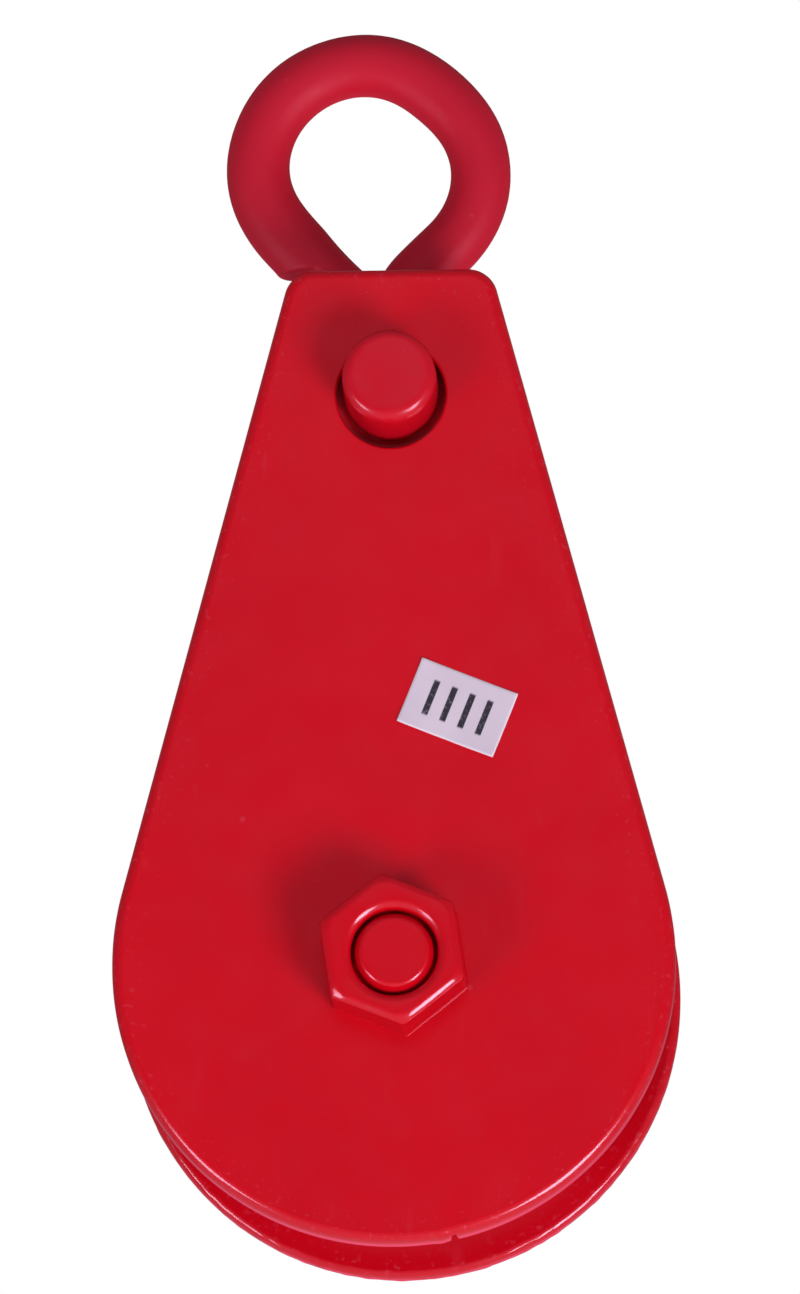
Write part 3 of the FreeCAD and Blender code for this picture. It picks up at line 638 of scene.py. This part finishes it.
NICK_FROM_Y = -0.0188
LUMP_DEG = -80.6
LUMP_REACH_DEG = 1.3
LUMP_HEIGHT = 0.00018
SLOT_SWEEP_DEG = 25.0
SLOT_STEPS = 30
SEAT_STEP_DEG = 5
SHARP_DEG = 35.0
FLAT_FACE_WEIGHT = 90


def flank_facing(foot_r, top_z):
    """The direction that a cheek's straight right flank faces, in radians above level."""
    rise = top_z - AXLE_Z
    return math.atan2(rise, CHEEK_TOP_HALF) - math.acos(foot_r / math.hypot(CHEEK_TOP_HALF, rise))


def cheek_corners(foot_r, top_z):
    """Each point of a cheek's outline as its arc's centre and radius, and its direction."""
    tangent = math.degrees(flank_facing(foot_r, top_z))
    corner_x = CHEEK_TOP_HALF - CHEEK_CORNER_R * math.tan(math.radians(90.0 - tangent) / 2)
    corner_z = top_z - CHEEK_CORNER_R
    runs = ((0.0, AXLE_Z, foot_r, tangent, -180.0 - tangent, FOOT_STEP_DEG),
            (-corner_x, corner_z, CHEEK_CORNER_R, 180.0 - tangent, 90.0, CORNER_STEP_DEG),
            (corner_x, corner_z, CHEEK_CORNER_R, 90.0, tangent, CORNER_STEP_DEG))
    corners = []
    for x, z, radius, start, end, step in runs:
        count = math.ceil((start - end) / step)
        corners += [(x, z, radius, start + (end - start) * i / count) for i in range(count + 1)]
    return corners


def near_rim(place, foot_r, top_z):
    """How near a point of a cheek is to its outline: 1 at it, 0 from a band's width inwards."""
    tangent = flank_facing(foot_r, top_z)
    x, z = abs(place.x), place.z - AXLE_Z
    if math.atan2(z, x) < tangent:
        inside = foot_r - math.hypot(x, z)
    else:
        inside = foot_r - (x * math.cos(tangent) + z * math.sin(tangent))
    inside = min(inside, top_z - place.z) - CHEEK_OUTER_EDGE
    return min(max(1.0 - inside / RIM_BAND, 0.0), 1.0)


def rounded_edge(radius, y, inward):
    """A plate's rounded edge from its face outwards: how far inside the outline, and its y."""
    quarter = [math.radians(90.0 * i / EDGE_STEPS) for i in range(EDGE_STEPS + 1)]
    return [(radius + RIM_BAND, y)] + [
        (radius * (1 - math.sin(a)), y + inward * radius * (1 - math.cos(a))) for a in quarter]


def walls(build, loops):
    """Joins each loop of points to the next with a band of faces."""
    for near, far in zip(loops, loops[1:]):
        for i in range(len(near)):
            j = (i + 1) % len(near)
            build.faces.new((near[i], near[j], far[j], far[i]))


def closed_piece(build, loops, name):
    """A closed piece: each loop of points joined to the next, and both ends filled."""
    walls(build, loops)
    build.faces.new(loops[0])
    build.faces.new(loops[-1])
    bmesh.ops.recalc_face_normals(build, faces=build.faces)
    return in_scene(name, mesh_of(build, name))


def cheek_blank(name, outer_y, inner_y, inner_edge, low, high, wave, out_of_true, nicked):
    """A plate without holes: its outline swept over both rounded edges, faces closed."""
    inward = 1.0 if inner_y > outer_y else -1.0
    stations = rounded_edge(CHEEK_OUTER_EDGE, outer_y, inward)
    stations += reversed(rounded_edge(inner_edge, inner_y, -inward))
    corners = cheek_corners((high[0] - low[0]) / 2, high[2])
    depth, per_m = wave
    shift, narrow, deep = out_of_true
    build = bmesh.new()
    loops = []
    for inset, y in stations:
        loop = []
        for x, z, radius, degrees in corners:
            out = Vector((math.cos(math.radians(degrees)), 0.0, math.sin(math.radians(degrees))))
            cut = min(inset, radius * DEEPEST_INSET_SHARE)
            if nicked:
                cut -= LUMP_HEIGHT * math.exp(-((degrees - LUMP_DEG) / LUMP_REACH_DEG) ** 2)
                if y > NICK_FROM_Y:
                    cut += NICK_DEPTH * math.exp(-((degrees - NICK_DEG) / NICK_REACH_DEG) ** 2)
            place = Vector((x, y, z)) + out * (radius - cut)
            if 0.0 < inset < CHEEK_OUTER_EDGE:
                place += out * (noise.noise(place * per_m) * depth)
            below = min(max((AXLE_Z - place.z) / OUT_OF_TRUE_RUN + 1.0, 0.0), 1.0)
            place.x += (shift - narrow * place.x) * below
            place.z += deep * min(place.z - AXLE_Z, 0.0)
            loop.append(build.verts.new(place))
        loops.append(loop)
    return closed_piece(build, loops, name)


def drill_bit(radius, y0, y1, z):
    """A cutter along Y that leaves both rims of its hole rounded."""
    quarter = [math.radians(90.0 * i / HOLE_EDGE_STEPS) for i in range(HOLE_EDGE_STEPS + 1)]
    flare = [(radius + HOLE_EDGE * (1 - math.sin(a)), HOLE_EDGE * (1 - math.cos(a)))
             for a in quarter]
    profile = [(radius + HOLE_EDGE, y0 - CUT_PAST)] + [(r, y0 + y) for r, y in flare]
    profile += [(r, y1 - y) for r, y in reversed(flare)] + [(radius + HOLE_EDGE, y1 + CUT_PAST)]
    turns = [2 * math.pi * i / HOLE_SIDES for i in range(HOLE_SIDES)]
    build = bmesh.new()
    rings = [[build.verts.new((r * math.cos(a), y, z + r * math.sin(a))) for a in turns]
             for r, y in profile]
    return closed_piece(build, rings, "drill_bit")


def slot_cutter(y0, y1):
    """The rear plate's hooked slot: a band about the axle, closed by the seat's half circle."""
    seat_rise = PIN_HOLE_Z - AXLE_Z
    seat = [math.radians(a) for a in range(-90, 91, SEAT_STEP_DEG)]
    line = [(PIN_HOLE_R * math.cos(a), seat_rise + PIN_HOLE_R * math.sin(a)) for a in seat]
    sweep = [math.radians(90.0 + SLOT_SWEEP_DEG * i / SLOT_STEPS) for i in range(1, SLOT_STEPS + 1)]
    for radius, angles in ((seat_rise + PIN_HOLE_R, sweep), (seat_rise - PIN_HOLE_R, sweep[::-1])):
        line += [(radius * math.cos(a), radius * math.sin(a)) for a in angles]
    build = bmesh.new()
    sides = [[build.verts.new((x, y, AXLE_Z + z)) for x, z in line]
             for y in (y0 - CUT_PAST, y1 + CUT_PAST)]
    return closed_piece(build, sides, "slot_cutter")


def cut_and_dressed(plate, cutters, foot_r, top_z):
    """The plate with its holes cut, shaded flat on its faces and smooth over its edges."""
    for cutter in cutters:
        hole = plate.modifiers.new("hole", "BOOLEAN")
        hole.operation = "DIFFERENCE"
        hole.solver = "EXACT"
        hole.object = cutter
    settled(plate)
    for cutter in cutters:
        bpy.data.objects.remove(cutter)
    plate.data.shade_smooth()
    plate.data.set_sharp_from_angle(angle=math.radians(SHARP_DEG))
    dressed = plate.modifiers.new("dressed", "WEIGHTED_NORMAL")
    dressed.keep_sharp = True
    dressed.weight = FLAT_FACE_WEIGHT
    settled(plate)
    rim = plate.data.attributes.new("rim", "FLOAT", "POINT")
    rim.data.foreach_set("value", [near_rim(v.co, foot_r, top_z) for v in plate.data.vertices])
    plate.data.materials.clear()
    plate.data.materials.append(enamel)
    return plate


front_low, front_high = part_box("front_cheek")
foot_radius = (front_high[0] - front_low[0]) / 2
front_plate = cheek_blank("front_cheek_plate", front_low[1], front_high[1], FRONT_INNER_EDGE,
                          front_low, front_high, FRONT_RIM_WAVE, FRONT_OUT_OF_TRUE, True)
cut_and_dressed(front_plate, [
    drill_bit(PIN_HOLE_R, front_low[1], front_high[1], PIN_HOLE_Z),
    drill_bit(AXLE_HOLE_R, front_low[1], front_high[1], AXLE_Z)], foot_radius, front_high[2])
hang(front_plate, "frame", "red_enamel", "front_cheek")

rear_low, rear_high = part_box("rear_cheek")
rear_plate = cheek_blank("rear_cheek_plate", rear_high[1], rear_low[1], REAR_INNER_EDGE,
                         rear_low, rear_high, REAR_RIM_WAVE, REAR_OUT_OF_TRUE, False)
cut_and_dressed(rear_plate, [
    slot_cutter(rear_low[1], rear_high[1]),
    drill_bit(BUSH_HOLE_R, rear_low[1], rear_high[1], AXLE_Z)], foot_radius, rear_high[2])
hang(rear_plate, "opening_cheek", "red_enamel", "rear_cheek")

# Axle nut. A standard hexagon nut, tightened and then painted over, so the paint rounds its
# edges, hides its chamfer but at the corners, and lies in a bead where it meets the plate.
NUT_GRAIN = 0.00030
NUT_PASSES = 16
NUT_CENTRE = (0.00022, -0.14832)
NUT_HALF_FLATS = 0.01198
NUT_CORNER_DEG = 98.4
NUT_CHAMFER_R = 0.0131
NUT_CHAMFER_SLOPE = 0.5
NUT_BORE = (0.0006, -0.1488, 0.0077)
NUT_LEAD_IN = 0.0012
NUT_LEAD_IN_DEPTH = 0.0009
NUT_BEAD = 0.0004
NUT_SUNK = 0.0009
NUT_EASE = 0.0012
NUT_EASE_DROP = 0.0007
NUT_STEP_DEG = 1.2
NUT_SIDE_DEG = 60.0
NUT_RIPPLE = (0.00010, 170.0)

nut_low, nut_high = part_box("axle_nut")
nut_build = bmesh.new()
nut_columns = []
for i in range(round(360.0 / NUT_STEP_DEG)):
    degrees = NUT_CORNER_DEG + i * NUT_STEP_DEG
    way = Vector((math.cos(math.radians(degrees)), math.sin(math.radians(degrees))))
    off_flat = (i * NUT_STEP_DEG) % NUT_SIDE_DEG - NUT_SIDE_DEG / 2
    reach = NUT_HALF_FLATS / math.cos(math.radians(off_flat))
    face_reach = min(reach, NUT_CHAMFER_R)
    chamfer_end_y = nut_low[1] + NUT_EASE_DROP + (reach - face_reach) * NUT_CHAMFER_SLOPE
    hexagon_at = Vector(NUT_CENTRE)
    bore_at = Vector(NUT_BORE[:2])
    bore = NUT_BORE[2]
    section = ((bore_at + way * bore, nut_high[1] + NUT_SUNK),
               (bore_at + way * bore, nut_low[1] + NUT_LEAD_IN_DEPTH),
               (bore_at + way * (bore + NUT_LEAD_IN), nut_low[1]),
               (hexagon_at + way * (face_reach - NUT_EASE), nut_low[1]),
               (hexagon_at + way * face_reach, nut_low[1] + NUT_EASE_DROP),
               (hexagon_at + way * reach, chamfer_end_y),
               (hexagon_at + way * reach, nut_high[1] - NUT_BEAD),
               (hexagon_at + way * (reach + NUT_BEAD), nut_high[1]),
               (hexagon_at + way * (reach + NUT_BEAD), nut_high[1] + NUT_SUNK))
    nut_columns.append([nut_build.verts.new((flat.x, y, flat.y)) for flat, y in section])
walls(nut_build, nut_columns + nut_columns[:1])
bmesh.ops.recalc_face_normals(nut_build, faces=nut_build.faces)
axle_nut = coated("axle_nut_coated", mesh_of(nut_build, "axle_nut_bare"), NUT_GRAIN, NUT_PASSES)
ripple(axle_nut.data, *NUT_RIPPLE, seed=5.0)
hang(axle_nut, "frame", "red_enamel", "axle_nut")

# Axle bolt and washer. A hexagon bolt put in from the rear with a thick washer, its plain
# nose showing inside the nut. Both were painted over where they show.
BOLT_GRAIN = 0.00032
BOLT_PASSES = 15
WASHER_PASSES = 6
NOSE_FROM_Y = -0.0200
NOSE_RUN = 0.0050
NOSE_SHIFT = 0.0006
NOSE_PAINT = 0.040
NOSE_EASE_R = 0.0055
NOSE_EASE_SLOPE = 0.75
NOSE_EASE_START = 0.0004
BOLT_RIPPLE = (0.00006, 170.0)

axle_bolt = coated("axle_bolt_coated", node_mesh("axle_bolt"), BOLT_GRAIN, BOLT_PASSES)
for vertex in axle_bolt.data.vertices:
    out_of_nut = min(max((NOSE_FROM_Y - vertex.co.y) / NOSE_RUN, 0.0), 1.0)
    past_ease = max(math.hypot(vertex.co.x, vertex.co.z - AXLE_Z) - NOSE_EASE_R, 0.0)
    vertex.co.y += out_of_nut * NOSE_EASE_SLOPE * past_ease ** 2 / (past_ease + NOSE_EASE_START)
    vertex.co.x += (NOSE_SHIFT + NOSE_PAINT * vertex.co.x) * out_of_nut
    vertex.co.z += NOSE_PAINT * (vertex.co.z - AXLE_Z) * out_of_nut
ripple(axle_bolt.data, *BOLT_RIPPLE, seed=7.0)
hang(axle_bolt, "frame", "red_enamel", "axle_bolt")
axle_washer = coated("axle_washer_coated", node_mesh("axle_washer"), BOLT_GRAIN, WASHER_PASSES)
hang(axle_washer, "frame", "red_enamel", "axle_washer")

# Paper label. A small pale paper label stuck askew on the front plate, with its corners
# lifting and four plain dark bars printed across it.
LABEL_CENTRE_X = 0.0116
LABEL_CENTRE_Z = -0.1030
LABEL_LENGTH = 0.0183
LABEL_WIDTH = 0.0123
LABEL_TURN_DEG = -22.0
LABEL_THICKNESS = 0.00010
LABEL_LIFT = 0.00035
LABEL_STUCK = 0.00003
LABEL_CELLS = (36, 24)
WRINKLES = Vector((5.0, 4.0, 0.0))
WRINKLE_SEED = Vector((0.0, 0.0, 2.0))
WRINKLE_DEPTH = 0.00004
WRINKLE_MOST = 0.00002
PAPER = (0.66, 0.54, 0.66, 1.0)
DARKER_PAPER = (0.61, 0.50, 0.62, 1.0)
PAPER_EDGE = (0.76, 0.64, 0.75, 1.0)
PAPER_CLOUDS_PER_M = 160.0
PAPER_CLOUD_FADE = (0.3, 0.7)
PAPER_ROUGHNESS = 0.55
PAPER_SHINE = 0.3
FIBRES_PER_M = 1500.0
FIBRE_DEPTH = 0.000012
INK = (0.030, 0.024, 0.040, 1.0)
INK_FIBRES = (0.25, 0.45)
INK_ON_FIBRES = 0.75
BAR_COUNT = 4.0
BARS_ALONG = (0.13, 0.87)
LAST_BAR_FADE = (0.730, 0.739)
BAR_SIDE_FADE = (0.30, 0.37)
BAR_END_FADE = (0.50, 0.56)
END_EDGE_FADE = (0.955, 0.985)
SIDE_EDGE_FADE = (0.935, 0.98)


def make_paper():
    """Pale lilac paper with a paler cut edge and four printed bars."""
    material, nodes, links, shader = new_finish("label_paper")
    coords = nodes.new("ShaderNodeTexCoord")
    across = nodes.new("ShaderNodeSeparateXYZ")
    links.new(coords.outputs["UV"], across.inputs[0])
    where = on_piece(nodes, links)
    fibre = clouded(nodes, links, where, FIBRES_PER_M, 4.0)
    cloud = clouded(nodes, links, where, PAPER_CLOUDS_PER_M)
    paper = blended(nodes, links, spread(nodes, links, cloud, *PAPER_CLOUD_FADE), PAPER, DARKER_PAPER)

    def from_middle(value):
        """How far a coordinate is from the sheet's middle, 0 to 1."""
        centred = joined(nodes, links, "SUBTRACT", value, 0.5)
        return joined(nodes, links, "MULTIPLY", joined(nodes, links, "ABSOLUTE", centred, 0.0), 2.0)

    end_way = from_middle(across.outputs["X"])
    side_way = from_middle(across.outputs["Y"])
    edge = joined(nodes, links, "MAXIMUM", spread(nodes, links, end_way, *END_EDGE_FADE),
                  spread(nodes, links, side_way, *SIDE_EDGE_FADE))
    paper = blended(nodes, links, edge, paper, PAPER_EDGE)
    along = spread(nodes, links, across.outputs["X"], *BARS_ALONG)
    stepped = joined(nodes, links, "MULTIPLY", along, BAR_COUNT)
    in_bar = from_middle(joined(nodes, links, "FRACT", stepped, 0.0))
    ink_share = spread(nodes, links, fibre, *INK_FIBRES, INK_ON_FIBRES, 1.0)
    for way, fade in ((in_bar, BAR_SIDE_FADE), (end_way, LAST_BAR_FADE), (side_way, BAR_END_FADE)):
        printed = spread(nodes, links, way, *fade, 1.0, 0.0)
        ink_share = joined(nodes, links, "MULTIPLY", ink_share, printed)
    links.new(blended(nodes, links, ink_share, paper, INK), shader.inputs["Base Color"])
    shader.inputs["Roughness"].default_value = PAPER_ROUGHNESS
    shader.inputs["Specular IOR Level"].default_value = PAPER_SHINE
    links.new(raised(nodes, links, fibre, FIBRE_DEPTH), shader.inputs["Normal"])
    return material


label_build = bmesh.new()
label_uv = label_build.loops.layers.uv.new("UVMap")
columns, rows = LABEL_CELLS
lean = math.radians(LABEL_TURN_DEG)
grid = []
for row in range(rows + 1):
    line = []
    for column in range(columns + 1):
        u, v = column / columns, row / rows
        along, over = (u - 0.5) * LABEL_LENGTH, (v - 0.5) * LABEL_WIDTH
        corner = (abs(2 * u - 1) * abs(2 * v - 1)) ** 3
        wrinkle = WRINKLE_DEPTH * noise.noise(Vector((u, v, 0.0)) * WRINKLES + WRINKLE_SEED)
        off_plate = LABEL_LIFT * corner + LABEL_STUCK - min(wrinkle, WRINKLE_MOST)
        place = Vector((LABEL_CENTRE_X + along * math.cos(lean) - over * math.sin(lean),
                        front_low[1] - off_plate,
                        LABEL_CENTRE_Z + along * math.sin(lean) + over * math.cos(lean)))
        line.append((label_build.verts.new(place), (u, v)))
    grid.append(line)
for row in range(rows):
    for column in range(columns):
        cell = (grid[row][column], grid[row][column + 1],
                grid[row + 1][column + 1], grid[row + 1][column])
        face = label_build.faces.new([vert for vert, uv in cell])
        face.smooth = True
        for loop, (vert, uv) in zip(face.loops, cell):
            loop[label_uv].uv = uv
label = in_scene("paper_label", mesh_of(label_build, "paper_label"))
label.data.materials.append(make_paper())
sheet = label.modifiers.new("sheet", "SOLIDIFY")
sheet.thickness = LABEL_THICKNESS
sheet.offset = 1.0
settled(label)
hang(label, "frame", "label_paper")

# Sheave, bush and spacers. Turned steel, left bare, with the fine rings that the lathe tool
# leaves, under a thin and uneven film of grease.
STEEL = (0.40, 0.40, 0.41, 1.0)
GREASED_STEEL = (0.27, 0.265, 0.26, 1.0)
TOOL_RINGS_PER_M = 2600.0
RING_FADE = (0.3, 0.7)
GREASE_FILMS_PER_M = 70.0
GREASE_FADE = (0.40, 0.66)
GREASE_ROUGHNESS = 0.10


def tool_rings(nodes, links):
    """A pattern of rings about the axle's line, as a lathe tool leaves them."""
    flat = on_piece(nodes, links, (1.0, 0.0, 1.0), (0.0, 0.0, -AXLE_Z))
    radius = nodes.new("ShaderNodeVectorMath")
    radius.operation = "LENGTH"
    links.new(flat, radius.inputs[0])
    depth = nodes.new("ShaderNodeSeparateXYZ")
    links.new(on_piece(nodes, links), depth.inputs[0])
    section = nodes.new("ShaderNodeCombineXYZ")
    links.new(radius.outputs["Value"], section.inputs["X"])
    links.new(depth.outputs["Y"], section.inputs["Y"])
    return clouded(nodes, links, section.outputs[0], TOOL_RINGS_PER_M, 1.0)


def make_turned_steel(name, clean, dirty, rough_low, rough_high, ring_depth):
    """Bare turned metal with its tool rings and a film of old grease."""
    material, nodes, links, shader = new_finish(name)
    shader.inputs["Metallic"].default_value = 1.0
    where = on_piece(nodes, links)
    film = spread(nodes, links, clouded(nodes, links, where, GREASE_FILMS_PER_M, 3.0), *GREASE_FADE)
    links.new(blended(nodes, links, film, clean, dirty), shader.inputs["Base Color"])
    rings = tool_rings(nodes, links)
    rough = spread(nodes, links, rings, *RING_FADE, rough_low, rough_high)
    greasy = joined(nodes, links, "MULTIPLY", film, GREASE_ROUGHNESS)
    links.new(joined(nodes, links, "ADD", rough, greasy), shader.inputs["Roughness"])
    links.new(raised(nodes, links, rings, ring_depth), shader.inputs["Normal"])
    return material


def dress(material, *nodes):
    """Gives CAD nodes that keep their own shape a finish."""
    for node in nodes:
        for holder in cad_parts[node].material_slots:
            holder.material = material


turned_steel = make_turned_steel("turned_steel", STEEL, GREASED_STEEL,
                                 rough_low=0.24, rough_high=0.38, ring_depth=0.000010)
dress(turned_steel, "sheave", "cheek_bush", "front_spacer", "rear_spacer")

# Ball bearing. Two ground rings, eight polished balls in a pressed cage, and a thin pressed
# shield on each side, held in the sheave by a shoulder and a black spring circlip.
BRIGHT_STEEL = (0.62, 0.62, 0.64, 1.0)
OILED_STEEL = (0.50, 0.49, 0.47, 1.0)
SHEET_STEEL = (0.50, 0.50, 0.51, 1.0)
BLACK_STEEL = (0.045, 0.045, 0.050, 1.0)

ground_steel = make_turned_steel("ground_steel", BRIGHT_STEEL, OILED_STEEL,
                                 rough_low=0.12, rough_high=0.18, ring_depth=0.000002)
dress(ground_steel, "bearing_outer_ring", "bearing_inner_ring", "bearing_balls")
sheet_steel = make_turned_steel("sheet_steel", SHEET_STEEL, OILED_STEEL,
                                rough_low=0.26, rough_high=0.34, ring_depth=0.000004)
dress(sheet_steel, "bearing_cage", "bearing_shield_front", "bearing_shield_rear")
black_steel = make_turned_steel("black_spring_steel", BLACK_STEEL, GREASED_STEEL,
                                rough_low=0.38, rough_high=0.52, ring_depth=0.000004)
dress(black_steel, "bearing_circlip")

# Swivel washer and slotted nut. Bought zinc-plated parts under the crosshead, bright with a
# faint bluish bloom, and duller where the plating is thin.
ZINC = (0.56, 0.58, 0.61, 1.0)
DULL_ZINC = (0.42, 0.42, 0.43, 1.0)
BLOOMS_PER_M = 420.0
BLOOM_FADE = (0.35, 0.65)
CRYSTALS_PER_M = 2400.0
CRYSTAL_DEPTH = 0.000006
ZINC_ROUGHNESS = (0.24, 0.42)


def make_zinc():
    """Bright zinc plate with a fine crystal bloom."""
    material, nodes, links, shader = new_finish("zinc_plate")
    shader.inputs["Metallic"].default_value = 1.0
    where = on_piece(nodes, links)
    bloom = spread(nodes, links, clouded(nodes, links, where, BLOOMS_PER_M, 4.0), *BLOOM_FADE)
    links.new(blended(nodes, links, bloom, ZINC, DULL_ZINC), shader.inputs["Base Color"])
    links.new(spread(nodes, links, bloom, 0.0, 1.0, *ZINC_ROUGHNESS), shader.inputs["Roughness"])
    crystal = clouded(nodes, links, where, CRYSTALS_PER_M)
    links.new(raised(nodes, links, crystal, CRYSTAL_DEPTH), shader.inputs["Normal"])
    return material


zinc = make_zinc()
dress(zinc, "swivel_washer", "swivel_nut")

# Split pin. Wire folded to a loop and pushed through nut and shank, with its two legs bent
# apart on the far side.
WIRE_R = 0.00050
WIRE_HALF = 0.00052
LOOP_NEAR_X = -0.0094
LOOP_MID_X = -0.0108
LOOP_FAR_X = -0.0126
LOOP_END_X = -0.0140
LOOP_HALF = 0.0020
LEG_BEND_X = 0.0090
LEG_END_X = 0.0128
LEG_END_Y = 0.0030
WIRE_BEND_R = 0.0011
WIRE_BEND_STEPS = 8
WIRE_SIDES = 16


def wire_tree(material):
    """A tree that rounds the corners of a line of edges and draws it as wire."""
    tree, nodes, links, given = new_tree("bent_wire", ("Wire radius", "Bend radius"))
    line = nodes.new("GeometryNodeMeshToCurve")
    links.new(given.outputs["Geometry"], line.inputs["Mesh"])
    bend = nodes.new("GeometryNodeFilletCurve")
    bend.mode = "POLY"
    bend.inputs["Count"].default_value = WIRE_BEND_STEPS
    bend.inputs["Limit Radius"].default_value = True
    links.new(line.outputs[0], bend.inputs["Curve"])
    links.new(given.outputs["Bend radius"], bend.inputs["Radius"])
    wire = swept(nodes, links, bend.outputs[0], given.outputs["Wire radius"], WIRE_SIDES)
    end_tree(nodes, links, wire, material)
    return tree


split_low, split_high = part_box("swivel_split_pin")
split_z = (split_low[2] + split_high[2]) / 2
half_line = [(LEG_END_X, LEG_END_Y, WIRE_HALF), (LEG_BEND_X, 0.0, WIRE_HALF),
             (LOOP_NEAR_X, 0.0, WIRE_HALF), (LOOP_MID_X, 0.0, LOOP_HALF),
             (LOOP_FAR_X, 0.0, LOOP_HALF)]
wire_line = half_line + [(LOOP_END_X, 0.0, 0.0)] + [(x, -y, -z) for x, y, z in reversed(half_line)]
wire_mesh = bpy.data.meshes.new("split_pin_wire")
wire_mesh.from_pydata([(x, y, split_z + z) for x, y, z in wire_line],
                      [(i, i + 1) for i in range(len(wire_line) - 1)], [])
split_pin = grown("split_pin_wire", wire_tree(zinc),
                  {"Wire radius": WIRE_R, "Bend radius": WIRE_BEND_R}, wire_mesh)
split_pin.data.shade_smooth()
hang(split_pin, "eye", "zinc_plate", "swivel_split_pin")
